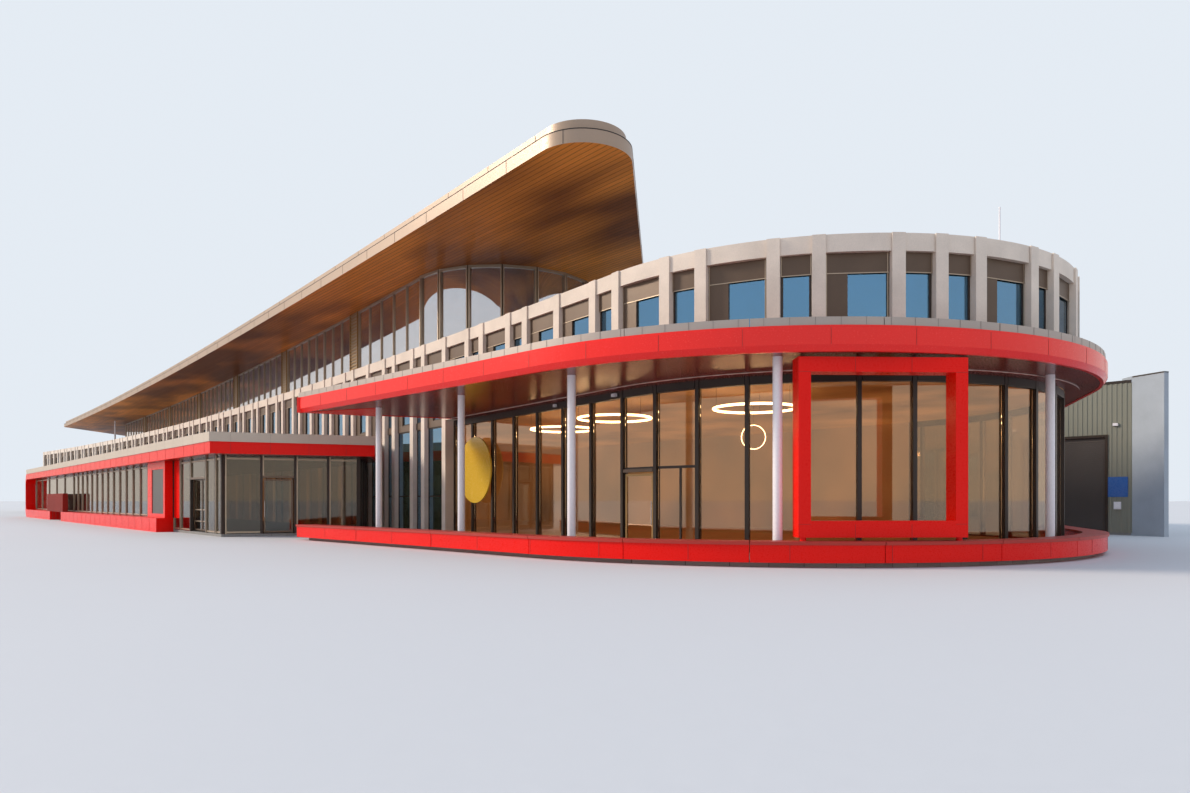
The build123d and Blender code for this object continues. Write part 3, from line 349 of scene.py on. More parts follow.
# Shader nodes
def preset(tree, kind, **values):
    """New shader node with input values."""
    node = tree.nodes.new(kind)
    for name, value in values.items():
        node.inputs[name].default_value = value
    return node


def arithmetic(tree, operation, first, second=None):
    """Arithmetic on two values or sockets."""
    node = tree.nodes.new("ShaderNodeMath")
    node.operation = operation
    for socket, value in zip(node.inputs, (first, second)):
        if isinstance(value, (int, float)):
            socket.default_value = value
        elif value is not None:
            tree.links.new(value, socket)
    return node.outputs[0]


def blend(tree, factor, first, second, mode="MIX"):
    """Mix of two colours or colour sockets."""
    node = tree.nodes.new("ShaderNodeMix")
    node.data_type = "RGBA"
    node.blend_type = mode
    for socket, value in ((node.inputs[0], factor), (node.inputs[6], first), (node.inputs[7], second)):
        if isinstance(value, (int, float)):
            socket.default_value = value
        elif isinstance(value, tuple):
            socket.default_value = (*value, 1)
        else:
            tree.links.new(value, socket)
    return node.outputs[2]


def spots(tree, scale=(1, 1, 1), turn=0.0):
    """Coordinates on the object, turned about Z and scaled."""
    source = tree.nodes.new("ShaderNodeTexCoord")
    mapping = preset(tree, "ShaderNodeMapping", Rotation=(0, 0, turn), Scale=scale)
    tree.links.new(source.outputs["Object"], mapping.inputs["Vector"])
    return mapping.outputs[0]


def noise(tree, vector, scale, detail=5.0):
    """Noise value between 0 and 1."""
    node = preset(tree, "ShaderNodeTexNoise", Scale=scale, Detail=detail, Roughness=0.6)
    tree.links.new(vector, node.inputs["Vector"])
    return node.outputs[0]


def spread(tree, value, low, high, start=0.3, end=0.7):
    """Value between start and end carried over to low and high."""
    node = tree.nodes.new("ShaderNodeMapRange")
    tree.links.new(value, node.inputs[0])
    for i, number in enumerate((start, end, low, high)):
        node.inputs[i + 1].default_value = number
    return node.outputs[0]


def boards(tree, turn, pitch):
    """Boards along a direction in degrees: a random tone for each, and the share of the way across it."""
    parts = tree.nodes.new("ShaderNodeSeparateXYZ")
    tree.links.new(spots(tree, turn=radians(-turn)), parts.inputs[0])
    row = arithmetic(tree, "DIVIDE", parts.outputs[1], pitch)
    board = tree.nodes.new("ShaderNodeTexWhiteNoise")
    board.noise_dimensions = "1D"
    tree.links.new(arithmetic(tree, "FLOOR", row), board.inputs["W"])
    return board.outputs[0], arithmetic(tree, "FRACT", row)


def facing(tree, axis, sign):
    """1 where a face looks along an axis, else 0."""
    place = tree.nodes.new("ShaderNodeNewGeometry")
    parts = tree.nodes.new("ShaderNodeSeparateXYZ")
    tree.links.new(place.outputs["Normal"], parts.inputs[0])
    return arithmetic(tree, "GREATER_THAN", arithmetic(tree, "MULTIPLY", parts.outputs[axis], sign), 0.5)


def emboss(tree, shader, height, strength, distance):
    """Fine relief on a shader."""
    relief = preset(tree, "ShaderNodeBump", Strength=strength, Distance=distance)
    tree.links.new(height, relief.inputs["Height"])
    tree.links.new(relief.outputs[0], shader.inputs["Normal"])


# Kinds of material
def started(name):
    """New material with its node tree and its main shader."""
    material = bpy.data.materials.new(name)
    material.use_nodes = True
    return material, material.node_tree, material.node_tree.nodes["Principled BSDF"]


def surface(
    name, colour, rough=0.5, metal=0.0, vary=0.15, size=0.2, grain=0.004, bump=0.15, coat=0.0, lines=None,
    shine=0.5,
):
    """Painted or mineral surface with soft colour change, fine grain and, if asked, board or panel lines.

    size and grain are lengths in metres of the soft and the fine pattern. lines is (turn in degrees, pitch,
    width, depth of the tone change); shine is how strongly the surface throws back light besides its colour.
    """
    material, tree, shader = started(name)
    soft = noise(tree, spots(tree), 1 / size)
    fine = noise(tree, spots(tree), 1 / grain, 3.0)
    shade = tuple(value * (1 - vary) for value in colour)
    light = tuple(min(value * (1 + vary), 1) for value in colour)
    tone = blend(tree, spread(tree, soft, 0, 1), shade, light)
    tone = blend(tree, 0.35, tone, blend(tree, spread(tree, fine, 0, 1), shade, light))
    height = fine
    if lines:
        turn, pitch, width, contrast = lines
        board, across = boards(tree, turn, pitch)
        tone = blend(tree, spread(tree, board, 0, contrast, 0, 1), tone, shade, "MULTIPLY")
        groove = arithmetic(tree, "LESS_THAN", across, width / pitch)
        dark = tuple(value * 0.12 for value in colour)
        tone = blend(tree, arithmetic(tree, "MULTIPLY", groove, 0.8), tone, dark)
        height = arithmetic(tree, "SUBTRACT", fine, arithmetic(tree, "MULTIPLY", groove, 2.0))
    tree.links.new(tone, shader.inputs["Base Color"])
    tree.links.new(spread(tree, fine, max(rough - 0.08, 0.03), rough + 0.08), shader.inputs["Roughness"])
    shader.inputs["Metallic"].default_value = metal
    shader.inputs["Specular IOR Level"].default_value = shine
    shader.inputs["Coat Weight"].default_value = coat
    shader.inputs["Coat Roughness"].default_value = 0.08
    emboss(tree, shader, height, bump, grain / 2)
    return material


def glazing(name, tint, mirror):
    """Coated glass, very slightly wavy and dusty. mirror is the share of light that its coating reflects."""
    material, tree, shader = started(name)
    shader.inputs["Transmission Weight"].default_value = 1.0
    shader.inputs["IOR"].default_value = 1.5
    shader.inputs["Metallic"].default_value = mirror
    soft = noise(tree, spots(tree), 3.0, 3.0)
    darker = tuple(value * 0.93 for value in tint)
    tree.links.new(blend(tree, spread(tree, soft, 0, 1), darker, tint), shader.inputs["Base Color"])
    tree.links.new(spread(tree, soft, 0.02, 0.04), shader.inputs["Roughness"])
    emboss(tree, shader, soft, 0.03, 0.001)
    return material


def lamp_glass(name, colour, strength):
    """Lit lamp cover."""
    material = surface(name, colour, 0.4, vary=0.04)
    shader = material.node_tree.nodes["Principled BSDF"]
    shader.inputs["Emission Color"].default_value = (*colour, 1)
    shader.inputs["Emission Strength"].default_value = strength
    return material


def painted_inside_glow(material, axis, sign, colour, strength):
    """Painted glow standing in for the rooms' warm light, on the faces of a material that look along an axis.
    """
    tree = material.node_tree
    shader = tree.nodes["Principled BSDF"]
    soft = spread(tree, noise(tree, spots(tree), 2.5, 2.0), 0.15, 1.5)
    inside = arithmetic(tree, "MULTIPLY", facing(tree, axis, sign), soft)
    shader.inputs["Emission Color"].default_value = (*colour, 1)
    tree.links.new(arithmetic(tree, "MULTIPLY", inside, strength), shader.inputs["Emission Strength"])


def boarded(name, metal_colour, board_colour, painted_glow_colour, turn, pitch):
    """Metal edge and top over a boarded underside, with warm uplight glow painted into the boards' colour in
    soft long bands.
    """
    material = surface(name, metal_colour, 0.42, 0.25, vary=0.09, size=0.3, grain=0.004, bump=0.06)
    tree = material.node_tree
    shader = tree.nodes["Principled BSDF"]
    metal_tone = shader.inputs["Base Color"].links[0].from_socket
    below = facing(tree, 2, -1)
    board, across = boards(tree, turn, pitch)
    grain = noise(tree, spots(tree, (2, 60, 1), radians(-turn)), 4.0, 6.0)
    bands = noise(tree, spots(tree, (0.7, 1.6, 1), radians(-turn)), 1.1, 2.0)
    # Painted light: soft long bands of warm uplight glow mixed into the boards' colour
    tone = blend(tree, spread(tree, bands, 0, 1, 0.40, 0.60), board_colour, painted_glow_colour)
    tone = blend(tree, spread(tree, board, 0, 0.22, 0, 1), tone, (0, 0, 0))
    tone = blend(tree, spread(tree, grain, 0, 0.28), tone, (0, 0, 0))
    groove = arithmetic(tree, "LESS_THAN", across, 0.10)
    tone = blend(tree, arithmetic(tree, "MULTIPLY", groove, 0.75), tone, (0.01, 0.005, 0.003))
    tree.links.new(blend(tree, below, metal_tone, tone), shader.inputs["Base Color"])
    tree.links.new(spread(tree, below, 0.25, 0, 0, 1), shader.inputs["Metallic"])
    tree.links.new(spread(tree, below, 0.5, 0.08, 0, 1), shader.inputs["Specular IOR Level"])
    return material


# Mineral surfaces and floors
CLADDING = (0.235, 0.235, 0.190)
RENDER_COAT = (0.50, 0.49, 0.46)
concrete = surface("concrete", (0.72, 0.62, 0.53), 0.75, vary=0.16, size=0.12, grain=0.003, bump=0.35)
cool_concrete = surface(
    "cool_concrete", (0.36, 0.40, 0.45), 0.75, vary=0.12, size=0.12, grain=0.003, bump=0.3,
)
render_coat = surface("render_coat", RENDER_COAT, 0.85, vary=0.07, size=0.4, bump=0.3)
rear_coat = surface("rear_coat", RENDER_COAT, 0.85, vary=0.07, size=0.4, bump=0.3)
floor_tile = surface("floor_tile", (0.40, 0.30, 0.21), 0.35, vary=0.1, lines=(0, 0.06, 0.0012, 0.25))
plain_floor = surface("plain_floor", (0.24, 0.23, 0.22), 0.5, vary=0.1, lines=(0, 0.06, 0.0012, 0.25))
upper_screed = surface("upper_screed", (0.50, 0.33, 0.20), 0.6, vary=0.1, lines=(0, 0.12, 0.002, 0.2))
terrace_paving = surface(
    "terrace_paving", (0.34, 0.33, 0.32), 0.7, vary=0.12, lines=(road_angle, 0.05, 0.001, 0.3),
)
roof_gravel = surface("roof_gravel", (0.42, 0.41, 0.39), 0.9, vary=0.35, size=0.3, grain=0.006, bump=0.8)
store_roofing = surface(
    "store_roofing", (0.33, 0.33, 0.33), 0.8, vary=0.12, bump=0.3, lines=(0, 0.1, 0.0015, 0.2),
)

# Glass
window_glass = glazing("window_glass", (0.22, 0.50, 0.76), 0.45)
top_glass = glazing("top_glass", (0.86, 0.88, 0.92), 0.55)
restaurant_pane = glazing("restaurant_pane", (0.88, 0.68, 0.47), 0.10)
ribbon_pane = glazing("ribbon_pane", (0.33, 0.31, 0.25), 0.14)
entrance_pane = glazing("entrance_pane", (0.42, 0.47, 0.44), 0.06)

# Metals and paints
bronze = surface("bronze", (0.150, 0.105, 0.075), 0.38, 0.55, vary=0.12, size=0.1, grain=0.002, bump=0.08)
panel_bronze = surface("panel_bronze", (0.115, 0.074, 0.048), 0.45, 0.3, vary=0.14, size=0.08, bump=0.08)
dark_bronze = surface("dark_bronze", (0.045, 0.033, 0.027), 0.4, 0.4, vary=0.12, bump=0.08)
pale_bronze = surface("pale_bronze", (0.42, 0.33, 0.24), 0.35, 0.6, vary=0.1, bump=0.06)
gold_bronze = surface("gold_bronze", (0.36, 0.22, 0.09), 0.35, 0.6, vary=0.1, bump=0.06)
red = surface("red", (0.82, 0.004, 0.001), 0.3, vary=0.06, size=0.5, grain=0.003, bump=0.03, shine=0.2)
canopy_red = surface(
    "canopy_red", (0.86, 0.016, 0.012), 0.22, vary=0.07, size=0.5, grain=0.003, bump=0.03, shine=0.4,
)
cap_red = surface("cap_red", (0.42, 0.035, 0.026), 0.45, vary=0.08, size=0.3, bump=0.04, shine=0.3)
screen_red = surface("screen_red", (0.30, 0.018, 0.010), 0.5, vary=0.12, bump=0.1, shine=0.2)
taupe = surface("taupe", (0.40, 0.34, 0.30), 0.4, 0.3, vary=0.08, bump=0.06)
cream = surface("cream", (0.52, 0.44, 0.36), 0.45, 0.2, vary=0.08, bump=0.06)
# Dark joints, and the painted shade in the roof's layer gap
dark_joint_and_shade = surface("dark_joint_and_shade", (0.02, 0.016, 0.014), 0.7, vary=0.1)
joint_red = surface("joint_red", (0.42, 0.010, 0.006), 0.6, vary=0.1)
seam_grey = surface("seam_grey", (0.20, 0.17, 0.15), 0.6, vary=0.1)
cladding = surface("cladding", CLADDING, 0.5, 0.2, vary=0.07, size=0.3, bump=0.08)
back_cladding = surface(
    "back_cladding", CLADDING, 0.5, 0.2, vary=0.07, size=0.3, bump=0.2, lines=(90, 0.020, 0.003, 0.1),
)
shutter_paint = surface("shutter_paint", (0.085, 0.072, 0.066), 0.5, 0.3, vary=0.12, bump=0.08)
white_paint = surface("white_paint", (0.80, 0.77, 0.80), 0.3, vary=0.05, bump=0.03, coat=0.2)
yellow = surface("yellow", (0.74, 0.47, 0.045), 0.25, vary=0.06, bump=0.03, coat=0.4)
blue = surface("blue", (0.02, 0.11, 0.36), 0.3, vary=0.06, bump=0.03, coat=0.2)
paper = surface("paper", (0.035, 0.032, 0.032), 0.35, vary=0.06, bump=0.05)
steel = surface("steel", (0.60, 0.60, 0.60), 0.22, 0.95, vary=0.06, bump=0.03)
black = surface("black", (0.015, 0.015, 0.016), 0.45, vary=0.15, bump=0.05)
lamp_light = lamp_glass("lamp_light", (1.0, 0.80, 0.52), 9.0)

# Boarded undersides: the roof's boards run along its straight front edge, the canopy's across the road edge
ROOF_TURN = -2.31
canopy_boards = surface(
    "canopy_boards", (0.250, 0.030, 0.016), 0.24, vary=0.2, size=0.15, bump=0.05, shine=0.22,
    lines=(road_angle + 90, 0.150, 0.0014, 0.35),
)
# The third colour is the warm uplight glow painted on the boarded underside
roof_metal = boarded(
    "roof_metal", (0.37, 0.265, 0.190), (0.24, 0.075, 0.018), (1.0, 0.36, 0.060), ROOF_TURN, 0.022,
)

# Painted glow of the warm rooms: the upper floor's underside, the rear wall's inner face and the sales floor
painted_inside_glow(upper_screed, 2, -1, (1.0, 0.46, 0.16), 0.22)
painted_inside_glow(rear_coat, 1, -1, (1.0, 0.40, 0.12), 0.12)
painted_inside_glow(floor_tile, 2, 1, (1.0, 0.50, 0.20), 0.06)

DRESS = (
    (concrete, "facade_piers parapet_beams ring_beam"),
    (cool_concrete, "dock_wall"),
    (render_coat, "end_wall"),
    (rear_coat, "rear_wall"),
    (floor_tile, "main_floor"),
    (plain_floor, "pavilion_floor store_floor"),
    (upper_screed, "upper_floor"),
    (terrace_paving, "terrace_floor"),
    (roof_gravel, "main_roof_deck"),
    (store_roofing, "store_roof"),
    (window_glass, "facade_glass"),
    (top_glass, "top_storey_glass"),
    (restaurant_pane, "restaurant_glass terrace_pane"),
    (ribbon_pane, "pavilion_glass"),
    (entrance_pane, "side_pane sliding_pane_left sliding_pane_right"),
    (bronze, "floor_beams door_hardware side_leaf sliding_leaf_left sliding_leaf_right"),
    (panel_bronze, "window_panels"),
    (dark_bronze, "restaurant_mullions restaurant_head pavilion_posts"),
    (gold_bronze, "terrace_leaf"),
    (pale_bronze, "top_storey_louvres"),
    (red, "portal terrace_wall pavilion_fascia pavilion_base poster_box pavilion_end_band"),
    (canopy_red, "canopy_fascia"),
    (screen_red, "ribbed_screen"),
    (taupe, "canopy_cap"),
    (cap_red, "terrace_wall_cap"),
    (cream, "pavilion_cap"),
    (canopy_boards, "canopy_deck pavilion_roof"),
    (roof_metal, "roof_plate roof_cover"),
    (cladding, "store_front_wall store_side_walls"),
    (back_cladding, "store_back_wall"),
    (shutter_paint, "roller_shutter"),
    (white_paint, "canopy_columns roof_posts mast"),
    (yellow, "terrace_sign"),
    (blue, "wall_sign"),
    (paper, "poster_panel"),
)
for material, names in DRESS:
    for name in names.split():
        nodes[name].data.materials.clear()
        nodes[name].data.materials.append(material)

# Frames round the facade's panes, with a cross bar on the lower panes of the long front
FRAME_BAR = 0.006
FRAME_REACH = (-0.0015, 0.004)
CROSS_BAR_SHARE = 0.34
CROSS_BARS_END_X = -1.2
frames = Shape()
for points in solids("facade_glass"):
    place, along, aside, level = plate(points)
    depth = beside(aside[0], FRAME_REACH)
    inner = (along[0] + FRAME_BAR, along[1] - FRAME_BAR)
    for edge in ends(along, FRAME_BAR):
        frames.block(place, edge, depth, level)
    for edge in ends(level, FRAME_BAR):
        frames.block(place, inner, depth, edge)
    if level[0] < SOFFIT and place[0] < CROSS_BARS_END_X:
        foot = level[0] + CROSS_BAR_SHARE * (level[1] - level[0])
        frames.block(place, inner, depth, (foot, foot + FRAME_BAR))
frames.finish("window_frames", dark_bronze)

# Fine folds on the bronze panels of the upper windows, and a ledge across each wide one
FOLD_SHARES = (0.0, 0.97)
FOLD_WIDTH = 0.0022
FOLD_REACH = (-0.0008, 0.001)
WIDE_PANEL = 0.07
LEDGE_DROP = 0.053
LEDGE_HEIGHT = 0.0025
LEDGE_REACH = (-0.0012, 0.001)
folds = Shape()
for points in solids("window_panels"):
    place, along, aside, level = plate(points)
    for share in FOLD_SHARES:
        spot = along[0] + share * (along[1] - along[0])
        folds.block(place, (spot, spot + FOLD_WIDTH), beside(aside[0], FOLD_REACH), level)
    if along[1] - along[0] > WIDE_PANEL:
        ledge = level[1] - LEDGE_DROP
        folds.block(place, along, beside(aside[0], LEDGE_REACH), (ledge - LEDGE_HEIGHT, ledge))
folds.finish("window_panel_folds", pale_bronze)

# Upright bars, sill and head of the top storey's flat panes
TOP_BAR_PITCH = 0.175
TOP_BAR_HALF = 0.003
TOP_BAR_PROUD = (0.006, 0.004)
TOP_RAIL_PROUD = (0.005, 0.003)
TOP_SILL = 0.010
TOP_HEAD = 0.012
BENT_PANE_DEPTH = 0.03
top_bars = Shape()
for points in solids("top_storey_glass"):
    place, along, aside, level = plate(points)
    if aside[1] - aside[0] > BENT_PANE_DEPTH:
        continue
    length = along[1] - along[0]
    count = max(round(length / TOP_BAR_PITCH), 1)
    depth = (aside[0] - TOP_BAR_PROUD[0], aside[1] + TOP_BAR_PROUD[1])
    for i in range(count + 1):
        spot = along[0] + TOP_BAR_HALF + (length - 2 * TOP_BAR_HALF) * i / count
        top_bars.block(place, about(spot, TOP_BAR_HALF), depth, level)
    depth = (aside[0] - TOP_RAIL_PROUD[0], aside[1] + TOP_RAIL_PROUD[1])
    for edge in ((level[0], level[0] + TOP_SILL), (level[1] - TOP_HEAD, level[1])):
        top_bars.block(place, along, depth, edge)
top_bars.finish("top_storey_bars", pale_bronze)

# Slats and side posts of the top storey's louvred panels
LOUVRE_SLATS = 22
LOUVRE_GAP_SHARE = 0.25
LOUVRE_SLAT_SHARE = 0.4
LOUVRE_REACH = (-0.006, 0.001)
LOUVRE_POST = 0.006
LOUVRE_POST_REACH = (-0.009, 0.001)
slats = Shape()
for points in solids("top_storey_louvres"):
    place, along, aside, level = plate(points)
    rise = (level[1] - level[0]) / LOUVRE_SLATS
    for i in range(LOUVRE_SLATS):
        low = level[0] + (i + LOUVRE_GAP_SHARE) * rise
        slats.block(place, along, beside(aside[0], LOUVRE_REACH), (low, low + LOUVRE_SLAT_SHARE * rise))
    for edge in ends(along, LOUVRE_POST):
        slats.block(place, edge, beside(aside[0], LOUVRE_POST_REACH), level)
slats.finish("top_storey_slats", gold_bronze)

# Canopy edge: the fascia with its bevel and top recess on one long sweep, then the free end and the back
FASCIA_THICK = 0.020
FASCIA_BEVEL = (0.010, 0.015)
FASCIA_RECESS = (0.003, 0.006)
bevel_top = SOFFIT + FASCIA_BEVEL[1]
recess_foot = FASCIA_TOP - FASCIA_RECESS[1]
fascia_profile = [
    (-FASCIA_THICK, SOFFIT), (-FASCIA_BEVEL[0], SOFFIT), (0.0, bevel_top), (0.0, recess_foot),
    (-FASCIA_RECESS[0], recess_foot), (-FASCIA_RECESS[0], FASCIA_TOP), (-FASCIA_THICK, FASCIA_TOP),
]
fascia = Shape()
fascia.sweep(canopy_edge, fascia_profile)
fascia.sweep([moved(canopy_corner, END_ANGLE, TERRACE_END_LENGTH), canopy_corner], fascia_profile)
fascia.sweep([canopy_back, (0.0, DRUM_RADIUS)], strip((-FASCIA_THICK, 0.0), (SOFFIT, FASCIA_TOP)))
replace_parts(fascia.finish("canopy_edge", canopy_red), "canopy_fascia")

FASCIA_JOINT_PITCH = 0.205
FASCIA_JOINT_REACH = (-0.0005, 0.006)
joints = Shape()
joints.joints(canopy_edge, FASCIA_JOINT_PITCH, JOINT_HALF, FASCIA_JOINT_REACH, (bevel_top, recess_foot))
joints.finish("canopy_joints", joint_red)

# Seams of the canopy's cap, and a thin dark strip on its top beside the free corner
CAP_SEAM_PITCH = 0.06
CAP_SEAM_REACH = (0.0055, 0.012)
CAP_SEAM_LIFT = 0.001
CAP_STRIP_ALONG = (0.008, 0.5)
CAP_STRIP_REACH = (0.007, 0.012)
CAP_STRIP_HEIGHT = 0.001
seams = Shape()
seams.joints(canopy_edge, CAP_SEAM_PITCH, SEAM_HALF, CAP_SEAM_REACH, (FASCIA_TOP + CAP_SEAM_LIFT, CAP_TOP))
seams.block((*canopy_corner, radians(road_angle)), CAP_STRIP_ALONG, CAP_STRIP_REACH, (CAP_TOP - CAP_STRIP_HEIGHT, CAP_TOP))
seams.finish("canopy_cap_seams", seam_grey)

# Boards under the ring beam, between the round end's face and the restaurant's glass
BEAM_BOARDS_STATION = 1.15
BEAM_BOARDS_BACK_ANGLE = 60
BEAM_BOARDS_WIDTH = 0.040
BEAM_BOARDS_REACH = (-0.0015, 0.0005)
beam_line = [front_at(BEAM_BOARDS_STATION * (1 - i / 20)) for i in range(20)]
beam_line += arc(-90 - FRONT_LEAN, BEAM_BOARDS_BACK_ANGLE, 60, drum_at)
beam_boards = Shape()
beam_boards.sweep(beam_line, strip((-BEAM_BOARDS_WIDTH, 0.0), beside(SOFFIT, BEAM_BOARDS_REACH)))
beam_boards.finish("ring_beam_boards", canopy_boards)

# Bright wedge on the canopy's underside: free corner, first column, and a point on the free end
WEDGE_INSET = 0.030
WEDGE_COLUMN = (0.38, -0.149)
WEDGE_END = (0.33, -0.02)
WEDGE_REACH = (0.0005, 0.0025)
wedge_corners = (
    moved(canopy_corner, (road_angle + END_ANGLE) / 2, WEDGE_INSET),
    moved(canopy_corner, road_angle, *WEDGE_COLUMN),
    moved(canopy_corner, END_ANGLE, *WEDGE_END),
)
wedge = Shape()
wedge.points = [(*corner, level) for level in beside(SOFFIT, WEDGE_REACH) for corner in wedge_corners]
wedge.faces = [(0, 2, 1), (3, 4, 5), (0, 1, 4, 3), (1, 2, 5, 4), (2, 0, 3, 5)]
wedge.finish("canopy_wedge", red)

# Fine joints across the portal's members, read from its corners
PORTAL_POST = 0.030
PORTAL_SILL = 0.040
PORTAL_LINTEL = 0.036
PORTAL_FOOT = 0.001
PORTAL_JOINT_REACH = (-0.0004, 0.001)
PORTAL_JOINT_SHARES = (1 / 3, 2 / 3)
place, along, aside, level = plate(solids("portal")[0])
depth = beside(aside[0], PORTAL_JOINT_REACH)
sill_top = level[0] + PORTAL_SILL
lintel_foot = level[1] - PORTAL_LINTEL
portal_joints = Shape()
for seam in (sill_top, lintel_foot):
    for edge in ends(along, PORTAL_POST):
        portal_joints.block(place, edge, depth, about(seam, SEAM_HALF))
for share in PORTAL_JOINT_SHARES:
    spot = along[0] + share * (along[1] - along[0])
    for edge in ((lintel_foot, level[1]), (level[0] + PORTAL_FOOT, sill_top)):
        portal_joints.block(place, about(spot, SEAM_HALF), depth, edge)
portal_joints.finish("portal_joints", joint_red)

# Small lamp and speaker on the restaurant's head band, as (station, half width): a case with a raised front
HEAD_FITTINGS = ((0.05, 0.010), (0.40, 0.006))
HEAD_BAND_DEPTH = 0.036
CASE_REACH = (-0.006, 0.004)
CASE_LEVEL = (0.492, 0.502)
CASE_FRONT_REACH = (-0.008, 0.004)
CASE_FRONT_LEVEL = (0.494, 0.500)
head_fittings = Shape()
for station, half in HEAD_FITTINGS:
    place = (*front_at(station, HEAD_BAND_DEPTH), radians(-FRONT_LEAN))
    head_fittings.block(place, about(0, half), CASE_REACH, CASE_LEVEL)
    head_fittings.block(place, about(0, half / 2), CASE_FRONT_REACH, CASE_FRONT_LEVEL)
head_fittings.finish("head_band_fittings", white_paint)

# Upright joints of the terrace wall
WALL_JOINT_PITCH = 0.24
WALL_JOINT_LEVEL = (0.016, 0.054)
wall_joints = Shape()
wall_joints.joints(canopy_edge, WALL_JOINT_PITCH, JOINT_HALF, JOINT_REACH, WALL_JOINT_LEVEL)
wall_joints.finish("terrace_wall_joints", joint_red)

# Upright joints of the pavilion's eaves and base, and seams of its cap
PAVILION_PITCH = 0.155
EAVES_JOINT_LEVEL = (PAVILION_HEAD + 0.003, PAVILION_FASCIA_TOP - 0.002)
BASE_JOINT_FOOT = 0.006
PAVILION_SEAM_REACH = (-0.0040, 0.003)
base_line = [(BAND_X, EAVES_Y), (BASE_END_X, EAVES_Y)]
pavilion_joints = Shape()
pavilion_joints.joints(eaves, PAVILION_PITCH, JOINT_HALF, JOINT_REACH, EAVES_JOINT_LEVEL)
pavilion_joints.joints(base_line, PAVILION_PITCH, JOINT_HALF, JOINT_REACH, (BASE_JOINT_FOOT, BASE_TOP))
pavilion_joints.finish("pavilion_joints", joint_red)

pavilion_cap_level = (PAVILION_FASCIA_TOP, PAVILION_CAP_TOP)
cap_seams = Shape()
cap_seams.joints(eaves, PAVILION_PITCH, SEAM_HALF, PAVILION_SEAM_REACH, pavilion_cap_level)
cap_seams.finish("pavilion_cap_seams", seam_grey)

# Pavilion glass: a low and a high cross bar and one upright bar on each pane of the road side and the end
PAVILION_INSIDE_Y = -1.0
ROAD_SIDE_Y = -1.45
NARROW_PANE = 0.05
CROSS_BAR_LIFT = 0.004
HIGH_BAR_FOOT = 0.337
CROSS_BAR_HEIGHT = 0.007
CROSS_BAR_REACH = (-0.003, 0.001)
UPRIGHT_WIDTH = 0.005
UPRIGHT_REACH = (-0.006, 0.001)
pavilion_bars = Shape()
for points in solids("pavilion_glass"):
    place, along, aside, level = plate(points)
    if place[1] > PAVILION_INSIDE_Y or along[1] - along[0] < NARROW_PANE:
        continue
    on_base = place[0] < BASE_END_X and place[1] < ROAD_SIDE_Y
    low_bar_foot = (BASE_TOP if on_base else FLOOR_TOP) + CROSS_BAR_LIFT
    for foot in (low_bar_foot, HIGH_BAR_FOOT):
        if level[0] <= foot < level[1]:
            depth = beside(aside[0], CROSS_BAR_REACH)
            pavilion_bars.block(place, along, depth, (foot, foot + CROSS_BAR_HEIGHT))
    upright = (along[0], along[0] + UPRIGHT_WIDTH)
    pavilion_bars.block(place, upright, beside(aside[0], UPRIGHT_REACH), level)
pavilion_bars.finish("pavilion_bars", pale_bronze)

# Slats of the screen before the ribbon window
SCREEN_LEFT_X = -6.178
SCREEN_SLATS = 50
SCREEN_PITCH = 0.0153
SCREEN_SLAT_WIDTH = 0.008
SCREEN_REACH = (-0.0035, 0.002)
SCREEN_LIFT = 0.002
screen_slats = Shape()
for i in range(SCREEN_SLATS):
    place = (SCREEN_LEFT_X + i * SCREEN_PITCH, EAVES_Y, 0)
    screen_slats.block(place, (0, SCREEN_SLAT_WIDTH), SCREEN_REACH, (BASE_TOP + SCREEN_LIFT, SCREEN_TOP))
screen_slats.finish("screen_slats", screen_red)

# Store: ribs of the cladding on its front, both ends and beside the link, shorter over the shutter
RIB_PITCH = 0.020
RIB_HALF = 0.004
RIB_REACH = (-0.0022, 0.001)
RIB_CLEARANCE = 0.005
COPING_HEIGHT = 0.012
COPING_REACH = (-0.012, 0.003)
DOOR_FRAME = 0.012
back_right = (STORE_RIGHT_X - (STORE_BACK_Y - STORE_FACE_Y) * tan(radians(STORE_SKEW)), STORE_BACK_Y)
store_front = [(STORE_LINK_X, STORE_FACE_Y), (STORE_RIGHT_X, STORE_FACE_Y)]
store_line = store_front + [back_right, (STORE_FAR_X, STORE_BACK_Y), (STORE_FAR_X, DRUM_RADIUS)]
link_line = [(STORE_LINK_X, DRUM_RADIUS), (STORE_LINK_X, STORE_FACE_Y)]
ribs = Shape()
for place in walk(store_line, RIB_PITCH) + walk(link_line, RIB_PITCH):
    beside_shutter = SHUTTER[0] - RIB_CLEARANCE < place[0] < SHUTTER[1] + RIB_CLEARANCE
    over_shutter = beside_shutter and abs(place[1] - STORE_FACE_Y) < TOLERANCE
    foot = SHUTTER_HEAD + DOOR_FRAME if over_shutter else FLOOR_TOP
    if place[1] < STORE_BACK_Y - RIB_PITCH / 2:
        ribs.block(place, about(0, RIB_HALF), RIB_REACH, (foot, STORE_TOP - COPING_HEIGHT))
ribs.finish("cladding_ribs", cladding)

# Coping of the store's front and of the wing wall
DOCK_COPING_REACH = (-0.001, 0.026)
DOCK_COPING_HEIGHT = 0.006
dock_angle = heading((STORE_RIGHT_X, STORE_FACE_Y), DOCK_END)[0]
dock_level = (DOCK_TOP - DOCK_COPING_HEIGHT, DOCK_TOP)
coping = Shape()
coping.sweep(store_front, strip(COPING_REACH, (STORE_TOP - COPING_HEIGHT, STORE_TOP)))
coping.block((*DOCK_END, radians(dock_angle)), (-DOCK_LENGTH, 0.0), DOCK_COPING_REACH, dock_level)
coping.finish("store_coping", dark_bronze)

